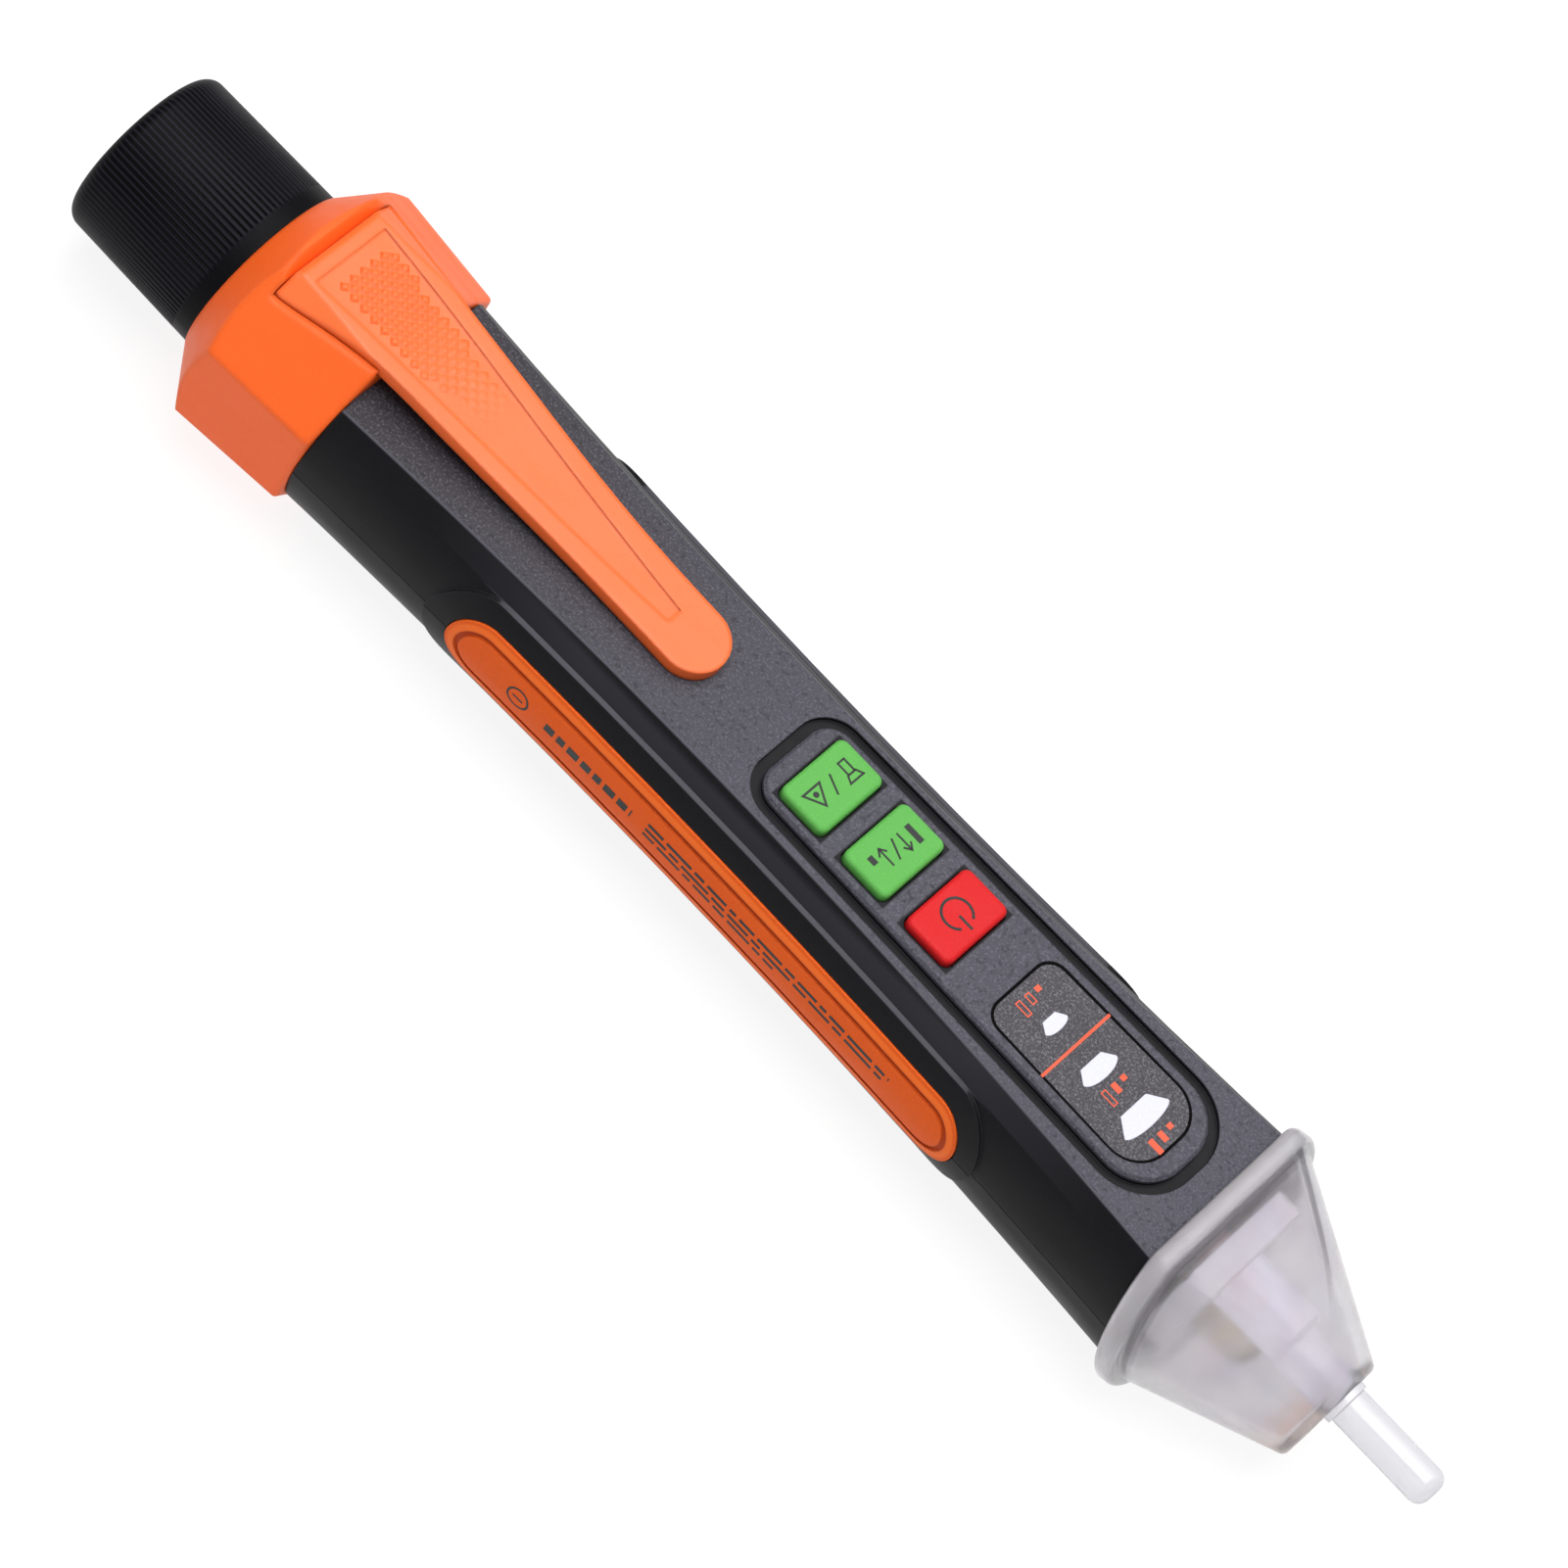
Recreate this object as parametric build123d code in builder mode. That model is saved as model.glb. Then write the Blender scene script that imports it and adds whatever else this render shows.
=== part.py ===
"""Pen-shaped non-contact voltage tester, as an assembly of separate pieces.

Sizes are in millimetres. The tool lies on its back along X, its nose towards +X and its keys up. The origin
is on the surface it lies on, under the middle of its length. Stations along the tool are measured from the
tail end and heights from the tool's axis; the plane functions below turn both into the shared frame.
"""

import os
from math import cos, radians, sin

from build123d import *

os.makedirs("parts", exist_ok=True)

# ---- overall -----------------------------------------------------------------------------------
LENGTH = 165.0
AXIS_HEIGHT = 12.2  # flats under the collar and the head rim are this far under the axis
CLEARANCE = 0.1  # between neighbouring pieces
FAR = 60.0  # larger than any section

# ---- case --------------------------------------------------------------------------------------
CASE_TAIL_RADIUS, CASE_WAIST_RADIUS, CASE_NOSE_RADIUS = 12.1, 10.75, 12.45
CASE_ARC_START, CASE_WAIST_X, CASE_ARC_END, CASE_SPANS = 30.0, 81.0, 138.0, 12
CASE_TAIL = 20.3
SPIGOT_RADIUS, SPIGOT_END = 11.2, 31.9  # tail of the case, inside the collar
PANEL_Z, BACK_Z = 8.2, -10.4  # flats on top and underneath
CEILING_Z, FLOOR_Z = 7.0, -9.0  # the same flats inside
WALL = 1.5
PARTING_GAP = 0.08
HEAD_X = 135.2  # where the slanted face of the head joint crosses the axis
HEAD_SLANT = 12.4  # degrees
NOSE_LENGTH, NOSE_RADIUS = 2.0, 11.0  # neck of the case inside the head
POST_STATIONS = (105.8, 130.2)
POST_RADIUS, POST_END = 1.9, -3.0
SCREW_HEAD_Z = -6.6

# ---- side pads and inlays ----------------------------------------------------------------------
PAD_START, PAD_END, PAD_HALF, PAD_RISE = 48.3, 117.4, 6.2, 0.35
INLAY_START, INLAY_END, INLAY_HALF = 51.2, 115.1, 4.1
INLAY_DEPTH, INLAY_RISE = 0.8, 0.12
INLAY_BORDER, INLAY_SINK = 1.05, 0.25

# ---- key island --------------------------------------------------------------------------------
ISLAND_Z, GROOVE_Z = 8.6, 7.65
ISLAND_START, ISLAND_END = 80.0, 129.7
ISLAND_HALF_TAIL, ISLAND_HALF_NOSE = 5.25, 6.0
GROOVE_WIDTH = 1.15

# ---- keys --------------------------------------------------------------------------------------
KEY_CENTRES = {"torch_key": 84.8, "range_key": 92.6, "power_key": 100.5}
KEY_LENGTH, KEY_WIDTH, KEY_TOP = 5.5, 8.5, 9.5
KEY_GAP = 0.12
LIP_BOTTOM, LIP_TOP, LIP_OUT = 6.42, 6.92, 0.5
PLUNGER_BOTTOM, PLUNGER_RADIUS = 6.33, 0.85

# ---- indicator ---------------------------------------------------------------------------------
WINDOW_START, WINDOW_END, WINDOW_HALF = 108.3, 127.7, 4.85
WINDOW_BOTTOM, WINDOW_TOP = 7.75, 8.55
SLOTS = ((112.25, 1.5, 0.95, 0.85, 1.5), (117.5, 1.95, 1.15, 1.4, 2.3), (122.8, 2.4, 1.7, 1.75, 3.05))
SLOT_DEPTH = 0.3
GUIDE_START, GUIDE_END, GUIDE_HALF = 110.8, 126.2, 3.8

# ---- circuit board -----------------------------------------------------------------------------
BOARD_BOTTOM, BOARD_TOP = 5.35, 5.95
BOARD_START, BOARD_END, BOARD_HALF = 77.5, 131.2, 6.4

# ---- cells and battery tube --------------------------------------------------------------------
CELL_RADIUS, CELL_LENGTH, CELL_START, CELL_NUB = 5.2, 44.5, 4.4, 1.7
TUBE_INNER, TUBE_OUTER = 5.4, 6.6
TUBE_START, TUBE_END, TUBE_OPEN_FROM = 2.4, 96.2, 75.0
THREAD_ROOT, THREAD_CREST, THREAD_LEAD = 7.1, 7.6, 3.0
THREAD_START, THREAD_TURNS = 6.4, 2.4
FLANGE_START, FLANGE_END, FLANGE_RADIUS = 17.3, 20.2, 9.4

# ---- cap ---------------------------------------------------------------------------------------
CAP_TAIL_RADIUS, CAP_MOUTH_RADIUS, CAP_END = 8.9, 9.1, 15.95
CAP_FLOOR, CAP_BORE, CAP_MOUTH_BORE = 1.5, 7.75, 8.25
GRIP_START, GRIP_END, GRIP_RIBS, GRIP_DEPTH = 0.5, 14.2, 96, 0.26

# ---- collar and clip ---------------------------------------------------------------------------
COLLAR_START, COLLAR_RIDGE, COLLAR_FRONT = 16.05, 19.2, 31.8
COLLAR_TAIL_RADIUS, COLLAR_FLARE = 9.35, 1.24  # radius at the tail and its growth per mm
COLLAR_BACK_FACET, COLLAR_FRONT_FACET = 13.1, 12.15  # distance of the flats from the axis
CLIP_PROFILE = ((20.6, 12.6), (31.0, 12.2), (46.0, 10.95), (60.0, 10.05), (70.6, 9.75))  # station, top
CLIP_ROOT = 20.6
CLIP_OUTLINE = (  # station, half width
    (21.2, 7.2),
    (24.0, 6.65),
    (27.5, 5.95),
    (32.0, 5.35),
    (40.0, 4.75),
    (48.0, 4.15),
    (57.0, 3.65),
    (67.1, 3.5),
)
CLIP_THICKNESS = 1.45
CLIP_ROOF = ((4.7, 12.75), (7.7, 10.6))  # sloping sides of the root: sideways, height
CLIP_PIVOT, CLIP_BEAD = (22.4, 11.25), 0.9
CLIP_FIELD = ((22.3, 4.5), (32.0, 3.7), (64.6, 0.85))  # sunk panel: station, half width
CLIP_SINK = 0.22
SHOULDER_INNER, SHOULDER_OUTER = (5.2, 11.55), (7.75, 10.5)  # slope beside the clip: sideways, height
SHOULDER_START, SHOULDER_STEP = 19.4, 1.1  # behind the collar's ridge

# ---- head --------------------------------------------------------------------------------------
RIM_RADIUS, RIM_Z, RIM_TOP, RIM_THICKNESS = 13.9, -0.4, 9.7, 2.1
CONE_BACK = (134.0, -0.6, 14.2)  # station, height of the centre, radius
CONE_FRONT = (153.6, -3.0, 5.5)
CONE_ROOF = ((135.0, 9.6), (154.5, 3.6))  # sloping flat on top: station, height
CONE_BOTTOM = -11.7
SHROUD_WALL = 1.2
ROD_RADIUS, ROD_ROOT_RADIUS, ROD_START, ROD_SHOULDER = 1.95, 2.3, 146.4, 154.2
BARREL_START, BARREL_END, BARREL_RADIUS, BARREL_Z = 139.4, 147.1, 2.9, 1.3
CARRIER_START, CARRIER_END, CARRIER_RADIUS = 136.6, 139.3, 8.4
CARRIER_TOP, CARRIER_BOTTOM = 5.9, -7.55
ANTENNA_Z, ANTENNA_RADIUS = -1.15, 0.35
TORCH_Z, TORCH_RADIUS = -5.0, 2.5

ORIGIN = Vector(-LENGTH / 2, 0, AXIS_HEIGHT)
TOOL_AXIS = Axis(ORIGIN, (1, 0, 0))


# ================================ shared helpers ================================================


def side_plane(y=0.0):
    """Upright plane along the tool: the first coordinate is the station, the second the height."""
    return Plane(origin=ORIGIN + Vector(0, y, 0), x_dir=(1, 0, 0), z_dir=(0, -1, 0))


def plan_plane(z=0.0):
    """Level plane: the first coordinate is the station, the second is sideways."""
    return Plane(origin=ORIGIN + Vector(0, 0, z), x_dir=(1, 0, 0), z_dir=(0, 0, 1))


def cross_plane(x, z=0.0):
    """Plane across the tool, facing the nose: the first coordinate is sideways, the second the height."""
    return Plane(origin=ORIGIN + Vector(x, 0, z), x_dir=(0, 1, 0), z_dir=(1, 0, 0))


def head_plane(ahead=0.0):
    """Slanted plane of the head joint, moved forward along its normal."""
    slant = radians(HEAD_SLANT)
    normal = Vector(cos(slant), 0, sin(slant))
    origin = ORIGIN + Vector(HEAD_X, 0, 0) + normal * ahead
    return Plane(origin=origin, x_dir=(0, 1, 0), z_dir=normal)


def flat_round(radius, top, bottom, centre=0.0):
    """Circle cut off level at the top and the bottom, on the sketch being drawn."""
    with Locations((0, centre)):
        Circle(radius)
    with Locations((0, top + FAR), (0, bottom - FAR)):
        Rectangle(4 * FAR, 2 * FAR, mode=Mode.SUBTRACT)


def ring_of_revolution(points):
    """Solid turned about the tool's axis from (station, radius) points."""
    with BuildPart() as turned:
        with BuildSketch(side_plane()):
            with BuildLine():
                Polyline(*points, close=True)
            make_face()
        revolve(axis=TOOL_AXIS)
    return turned.part


def cylinder_between(start, end, radius, z=0.0, y=0.0):
    """Round bar along the tool between two stations."""
    with BuildPart() as bar:
        with BuildSketch(cross_plane(start, z)):
            with Locations((y, 0)):
                Circle(radius)
        extrude(amount=end - start)
    return bar.part


def waist_radius(station):
    """Radius of the case, which swells from its waist towards both ends."""
    end, span = (
        (CASE_TAIL_RADIUS, CASE_WAIST_X - CASE_ARC_START)
        if station < CASE_WAIST_X
        else (CASE_NOSE_RADIUS, CASE_ARC_END - CASE_WAIST_X)
    )
    return CASE_WAIST_RADIUS + (end - CASE_WAIST_RADIUS) * ((station - CASE_WAIST_X) / span) ** 2


def waisted_round(change):
    """Solid with the waisted outline of the case, moved out by change, as short cones end to end."""
    step = (CASE_ARC_END - CASE_ARC_START) / CASE_SPANS
    stations = [CASE_ARC_START + step * i for i in range(CASE_SPANS + 1)]
    outline = [(station, waist_radius(station) + change) for station in stations]
    return ring_of_revolution([(CASE_ARC_START, 0), *outline, (CASE_ARC_END, 0)])


def side_slot(start, end, half, side):
    """Slot-shaped prism that reaches from the middle of the tool out to one side, -1 or 1."""
    with BuildPart() as prism:
        with BuildSketch(side_plane()):
            with Locations(((start + end) / 2, 0)):
                SlotOverall(end - start, 2 * half)
        extrude(amount=-side * FAR)
    return prism.part


def island_face(grow):
    """Outline of the key island, moved out by grow."""
    tail = ISLAND_HALF_TAIL + grow
    nose = ISLAND_HALF_NOSE + grow
    start = ISLAND_START - grow
    end = ISLAND_END + grow
    with BuildSketch() as face:
        with BuildLine():
            Polyline((start, tail), (end, nose), (end, -nose), (start, -tail), close=True)
        make_face()
        corners = face.vertices().group_by(Axis.X)
        fillet(corners[0], radius=2.6 + grow)
        fillet(face.vertices().group_by(Axis.X)[-1], radius=4.9 + grow)
    return face.sketch


def window_face(grow):
    """Outline of the indicator window, moved out by grow."""
    tail = WINDOW_HALF - 0.25 + grow
    nose = WINDOW_HALF + grow
    start = WINDOW_START - grow
    end = WINDOW_END + grow
    with BuildSketch() as face:
        with BuildLine():
            Polyline((start, tail), (end, nose), (end, -nose), (start, -tail), close=True)
        make_face()
        fillet(face.vertices().group_by(Axis.X)[0], radius=1.9 + grow)
        fillet(face.vertices().group_by(Axis.X)[-1], radius=3.6 + grow)
    return face.sketch


def export(part, name):
    """Writes one piece to its own file."""
    part.label = name
    export_step(part, f"parts/{name}.step")
    print(f"{name:20s} {part.volume:10.2f} mm3  {len(part.solids())} solid(s)")


SIDES = {"left": 1, "right": -1}
CASE_SKIN = waisted_round(0.0)
PADS = [waisted_round(PAD_RISE) & side_slot(PAD_START, PAD_END, PAD_HALF, side) for side in SIDES.values()]
CHANNELS = [
    side_slot(INLAY_START - CLEARANCE, INLAY_END + CLEARANCE, INLAY_HALF + CLEARANCE, side)
    - waisted_round(-INLAY_DEPTH)
    for side in SIDES.values()
]

# ================================ case ==========================================================

with BuildPart() as case_blank:
    add(CASE_SKIN)
    add(PADS)
    with BuildSketch(cross_plane(CASE_ARC_START - 1)):
        Circle(FAR)
        Circle(SPIGOT_RADIUS, mode=Mode.SUBTRACT)
    extrude(amount=SPIGOT_END - CASE_ARC_START + 1, mode=Mode.SUBTRACT)
    add(cylinder_between(CASE_TAIL, SPIGOT_END, SPIGOT_RADIUS))
    add(CHANNELS, mode=Mode.SUBTRACT)
    split(bisect_by=plan_plane(PANEL_Z), keep=Keep.BOTTOM)
    split(bisect_by=plan_plane(BACK_Z), keep=Keep.TOP)
    split(bisect_by=head_plane(), keep=Keep.BOTTOM)
    with BuildSketch(head_plane(-1.0)):
        flat_round(NOSE_RADIUS, PANEL_Z - 1.0, BACK_Z + 1.0)
    extrude(amount=NOSE_LENGTH + 1.0)

with BuildPart() as cavity:
    add(waisted_round(-WALL))
    with BuildSketch(cross_plane(CASE_ARC_START - 1)):
        Circle(FAR)
        Circle(SPIGOT_RADIUS - WALL, mode=Mode.SUBTRACT)
    extrude(amount=SPIGOT_END + WALL - CASE_ARC_START + 1, mode=Mode.SUBTRACT)
    add(cylinder_between(CASE_TAIL - 1, SPIGOT_END + WALL, SPIGOT_RADIUS - WALL))
    split(bisect_by=head_plane(-2.5), keep=Keep.BOTTOM)
    split(bisect_by=plan_plane(CEILING_Z), keep=Keep.BOTTOM)
    split(bisect_by=plan_plane(FLOOR_Z), keep=Keep.TOP)
    with BuildSketch(head_plane(-4.0)):
        flat_round(NOSE_RADIUS - 1.2, CEILING_Z - 0.8, FLOOR_Z + 0.8)
    extrude(amount=8.0)

with BuildPart() as island:
    with BuildSketch(plan_plane(GROOVE_Z - 0.3)):
        add(island_face(0.0))
    extrude(amount=ISLAND_Z - GROOVE_Z + 0.3)
    chamfer(island.faces().sort_by(Axis.Z)[-1].edges(), length=0.3)

with BuildPart() as upper_shell:
    add(case_blank.part - cavity.part)
    split(bisect_by=plan_plane(PARTING_GAP / 2), keep=Keep.TOP)
    with BuildSketch(plan_plane(GROOVE_Z)):
        add(island_face(GROOVE_WIDTH))
    extrude(amount=FAR, mode=Mode.SUBTRACT)
    add(island.part)
    with BuildSketch(plan_plane(GROOVE_Z + CLEARANCE - 0.05)):
        add(window_face(CLEARANCE))
    extrude(amount=FAR, mode=Mode.SUBTRACT)
    with BuildSketch(plan_plane(0)):
        with Locations(((GUIDE_START + GUIDE_END) / 2, 0)):
            RectangleRounded(GUIDE_END - GUIDE_START + 0.2, 2 * GUIDE_HALF + 0.2, 0.8)
        with Locations(*[(station, 0) for station in KEY_CENTRES.values()]):
            RectangleRounded(KEY_LENGTH + 2 * KEY_GAP, KEY_WIDTH + 2 * KEY_GAP, 0.9)
    extrude(amount=FAR, mode=Mode.SUBTRACT)
    with BuildSketch(plan_plane(CEILING_Z + 0.3)):
        with Locations(*[(station, 0) for station in POST_STATIONS]):
            Circle(POST_RADIUS)
    extrude(amount=POST_END - CEILING_Z - 0.3)
    with BuildSketch(plan_plane(POST_END)):
        with Locations(*[(station, 0) for station in POST_STATIONS]):
            Circle(0.95)
    extrude(amount=5.5, mode=Mode.SUBTRACT)

with BuildPart() as lower_shell:
    add(case_blank.part - cavity.part)
    split(bisect_by=plan_plane(-PARTING_GAP / 2), keep=Keep.BOTTOM)
    with BuildSketch(plan_plane(BACK_Z + 0.5)):
        with Locations(*[(station, 0) for station in POST_STATIONS]):
            Circle(2.8)
    extrude(amount=POST_END - CLEARANCE - BACK_Z - 0.5)
    with BuildSketch(plan_plane(BACK_Z - 1)):
        with Locations(*[(station, 0) for station in POST_STATIONS]):
            Circle(1.9)
    extrude(amount=SCREW_HEAD_Z - BACK_Z + 1, mode=Mode.SUBTRACT)
    with BuildSketch(plan_plane(BACK_Z - 1)):
        with Locations(*[(station, 0) for station in POST_STATIONS]):
            Circle(1.05)
    extrude(amount=POST_END - BACK_Z + 1, mode=Mode.SUBTRACT)

export(upper_shell.part, "upper_shell")
export(lower_shell.part, "lower_shell")

with BuildPart() as case_screws:
    for station in POST_STATIONS:
        with BuildSketch(plan_plane(SCREW_HEAD_Z - 1.3)):
            with Locations((station, 0)):
                Circle(1.75)
        extrude(amount=1.25)
        with BuildSketch(plan_plane(SCREW_HEAD_Z - 0.1)):
            with Locations((station, 0)):
                Circle(0.9)
        extrude(amount=8.4)
        with BuildSketch(plan_plane(SCREW_HEAD_Z - 1.3)):
            with Locations((station, 0)):
                Rectangle(2.2, 0.45)
                Rectangle(0.45, 2.2)
        extrude(amount=0.8, mode=Mode.SUBTRACT)
export(case_screws.part, "case_screws")

for name, side in SIDES.items():
    outer = waisted_round(PAD_RISE + INLAY_RISE)
    border = side_slot(INLAY_START + INLAY_BORDER, INLAY_END - INLAY_BORDER, INLAY_HALF - INLAY_BORDER, side)
    inset = INLAY_BORDER + 0.55
    field = side_slot(INLAY_START + inset, INLAY_END - inset, INLAY_HALF - inset, side)
    with BuildPart() as inlay:
        add(outer & side_slot(INLAY_START, INLAY_END, INLAY_HALF, side))
        add(waisted_round(-INLAY_DEPTH + 0.05), mode=Mode.SUBTRACT)
        add(border - field - waisted_round(PAD_RISE + INLAY_RISE - INLAY_SINK), mode=Mode.SUBTRACT)
    export(inlay.part, f"inlay_{name}")

# ================================ battery tube and cells ========================================

with BuildPart() as battery_tube:
    add(
        ring_of_revolution(
            [
                (TUBE_START, TUBE_INNER),
                (TUBE_START, THREAD_ROOT),
                (FLANGE_START, THREAD_ROOT),
                (FLANGE_START, FLANGE_RADIUS),
                (FLANGE_END, FLANGE_RADIUS),
                (FLANGE_END, TUBE_OUTER),
                (TUBE_END, TUBE_OUTER),
                (TUBE_END, 1.6),
                (94.3, 1.6),
                (94.3, TUBE_INNER),
            ]
        )
    )
    with BuildSketch(cross_plane(TUBE_OPEN_FROM)):
        with Locations((0, 5.0 + FAR / 2)):
            Rectangle(FAR, FAR)
    extrude(amount=FAR, mode=Mode.SUBTRACT)
    with BuildSketch(cross_plane(TUBE_START - 1)):
        with Locations((6.6, 0)):
            Rectangle(1.2, 2.2)
    extrude(amount=FAR + 40, mode=Mode.SUBTRACT)
    with BuildSketch(cross_plane(78.0)):
        with Locations((6.6, 4.0)):
            Rectangle(1.2, 10.2)
    extrude(amount=2.3, mode=Mode.SUBTRACT)

with BuildPart() as thread:
    with BuildLine() as path:
        Helix(
            pitch=THREAD_LEAD,
            height=THREAD_LEAD * THREAD_TURNS,
            radius=THREAD_ROOT,
            center=ORIGIN + Vector(THREAD_START, 0, 0),
            direction=(1, 0, 0),
        )
    with BuildSketch(Plane(origin=path.line @ 0, x_dir=(1, 0, 0), z_dir=path.line % 0)):
        with BuildLine():
            rise = THREAD_CREST - THREAD_ROOT
            Polyline((-0.55, -0.15), (0.55, -0.15), (0.2, rise), (-0.2, rise), close=True)
        make_face()
    sweep(path=path.line, is_frenet=True)

export(battery_tube.part + thread.part, "battery_tube")

for name, start in {"cell_rear": CELL_START, "cell_front": CELL_START + CELL_LENGTH}.items():
    end = start + CELL_LENGTH
    with BuildPart() as cell:
        with BuildSketch(side_plane()):
            with BuildLine():
                Polyline(
                    (start, 0),
                    (start, 4.3),
                    (start + 0.25, 4.3),
                    (start + 0.25, CELL_RADIUS),
                    (end - 1.3, CELL_RADIUS),
                    (end - 1.3, 4.2),
                    (end - 0.95, 4.2),
                    (end - 0.95, CELL_NUB),
                    (end - 0.02, CELL_NUB),
                    (end - 0.02, 0),
                    close=True,
                )
            make_face()
        revolve(axis=TOOL_AXIS)
    export(cell.part, name)

with BuildPart() as front_contact:
    with BuildSketch(cross_plane(93.5)):
        Circle(4.4)
        with Locations((0, 4.6)):
            Rectangle(2.4, 1.4)
        Circle(1.0, mode=Mode.SUBTRACT)
    extrude(amount=0.4)
export(front_contact.part, "front_contact")

with BuildPart() as battery_strip:
    with BuildSketch(cross_plane(2.05)):
        with Locations((6.3, 0)):
            Rectangle(0.3, 1.8)
    extrude(amount=78.0)
    with BuildSketch(cross_plane(78.25)):
        with Locations((6.3, 2.2)):
            Rectangle(0.3, 6.2)
    extrude(amount=1.8)
export(battery_strip.part, "battery_strip")

with BuildPart() as cap_seal:
    with BuildSketch(side_plane()):
        with Locations((15.35, THREAD_ROOT + 0.47)):
            Circle(0.45)
    revolve(axis=TOOL_AXIS)
export(cap_seal.part, "cap_seal")

# ================================ cap ===========================================================

with BuildPart() as battery_cap:
    add(
        ring_of_revolution(
            [
                (0.0, 0.0),
                (0.0, CAP_TAIL_RADIUS),
                (CAP_END, CAP_MOUTH_RADIUS),
                (CAP_END, CAP_MOUTH_BORE),
                (14.6, CAP_MOUTH_BORE),
                (14.1, CAP_BORE),
                (CAP_FLOOR, CAP_BORE),
                (CAP_FLOOR, 0.0),
            ]
        )
    )
    tail_rim = battery_cap.edges().filter_by(GeomType.CIRCLE).sort_by(Axis.X)[0]
    fillet(tail_rim, radius=1.4)
    with BuildSketch(cross_plane(GRIP_START)):
        with PolarLocations(CAP_MOUTH_RADIUS + 0.12, GRIP_RIBS):
            RegularPolygon(radius=GRIP_DEPTH, side_count=4, rotation=0)
    extrude(amount=GRIP_END - GRIP_START, mode=Mode.SUBTRACT)
export(battery_cap.part, "battery_cap")

with BuildPart() as cap_contact:
    with BuildSketch(cross_plane(1.6)):
        Circle(6.9)
        Circle(1.0, mode=Mode.SUBTRACT)
    extrude(amount=0.3)
export(cap_contact.part, "cap_contact")

with BuildPart() as cap_spring:
    with BuildLine() as coil:
        Helix(pitch=0.62, height=1.86, radius=3.6, center=ORIGIN + Vector(2.2, 0, 0), direction=(1, 0, 0))
    with BuildSketch(Plane(origin=coil.line @ 0, z_dir=coil.line % 0)):
        Circle(0.2)
    sweep(path=coil.line, is_frenet=True)
export(cap_spring.part, "cap_spring")

# ================================ collar and clip ===============================================


def clip_top(rise):
    """Prism that takes in everything under the clip's top face moved up by rise."""
    top = [(station, height + rise) for station, height in CLIP_PROFILE]
    with BuildPart() as under:
        with BuildSketch(side_plane(-FAR / 2)):
            with BuildLine():
                Spline(*top, tangents=[(1, -0.02), (1, -0.02)])
                ends = [(2 * FAR, top[-1][1] - 1), (2 * FAR, -FAR), (-5, -FAR), (-5, top[0][1] + 0.5)]
                Polyline(top[-1], *ends, top[0])
            make_face()
        extrude(amount=-FAR)
    return under.part


def clip_roof(rise):
    """Prism along the tool that takes in everything under the sloping sides of the clip's root."""
    (inner, high), (outer, low) = CLIP_ROOF
    grade = (high - low) / (outer - inner)
    eave = low - grade * (FAR / 4 - outer)
    with BuildPart() as under:
        with BuildSketch(cross_plane(0.0)):
            with BuildLine():
                ridge = [(-inner, high + rise), (inner, high + rise)]
                right = [(FAR / 4, eave + rise), (FAR / 4, -FAR)]
                left = [(-FAR / 4, -FAR), (-FAR / 4, eave + rise)]
                Polyline(*ridge, *right, *left, close=True)
            make_face()
        extrude(amount=2 * FAR)
    return under.part


def clip_under(rise):
    """Everything under the clip's upper surface moved up by rise."""
    return clip_top(rise) & clip_roof(rise * 0.8)


def clip_bead(radius, half):
    """Round bead across the clip's root, which the clip turns on."""
    with BuildPart() as bead:
        with BuildSketch(side_plane(half)):
            with Locations(CLIP_PIVOT):
                Circle(radius)
        extrude(amount=2 * half)
    return bead.part


def clip_plan(grow):
    """Upright prism with the plan of the clip, moved out by grow."""
    near = [(station, half + grow) for station, half in CLIP_OUTLINE]
    far = [(station, -half) for station, half in reversed(near)]
    end_half = near[-1][1]
    with BuildPart() as prism:
        with BuildSketch(plan_plane(0)):
            with BuildLine():
                root = CLIP_ROOT - grow
                Polyline(far[-1], (root, far[-1][1]), (root, near[0][1]), near[0])
                Spline(*near, tangents=[(1, -0.15), (1, 0)])
                ThreePointArc(near[-1], (near[-1][0] + end_half, 0), far[0])
                Spline(*far, tangents=[(-1, 0), (-1, -0.15)])
            make_face()
        extrude(amount=FAR)
    return prism.part


CLIP_PRISM = clip_plan(0.0)
CLIP_POCKET = clip_plan(0.15) - clip_under(-CLIP_THICKNESS - 0.35)
CLIP_SLAB = (CLIP_PRISM & clip_under(0.0)) - clip_under(-CLIP_THICKNESS)

with BuildPart() as shoulder_cut:
    with BuildSketch(cross_plane(SHOULDER_START)):
        with BuildLine():
            (inner, high), (outer, low) = SHOULDER_INNER, SHOULDER_OUTER
            slope = [(-outer, low), (-inner, high), (inner, high), (outer, low)]
            Polyline(*slope, (outer, FAR), (-outer, FAR), close=True)
        make_face()
    extrude(amount=COLLAR_FRONT - SHOULDER_START + 1)
    with BuildSketch(side_plane(-FAR / 2)):
        with BuildLine():
            foot = SHOULDER_START + SHOULDER_STEP
            Polyline((SHOULDER_START, 13.3), (foot, 11.7), (foot, 0), (FAR, 0), (FAR, 13.3), close=True)
        make_face()
    extrude(amount=-FAR, mode=Mode.INTERSECT)

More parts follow.
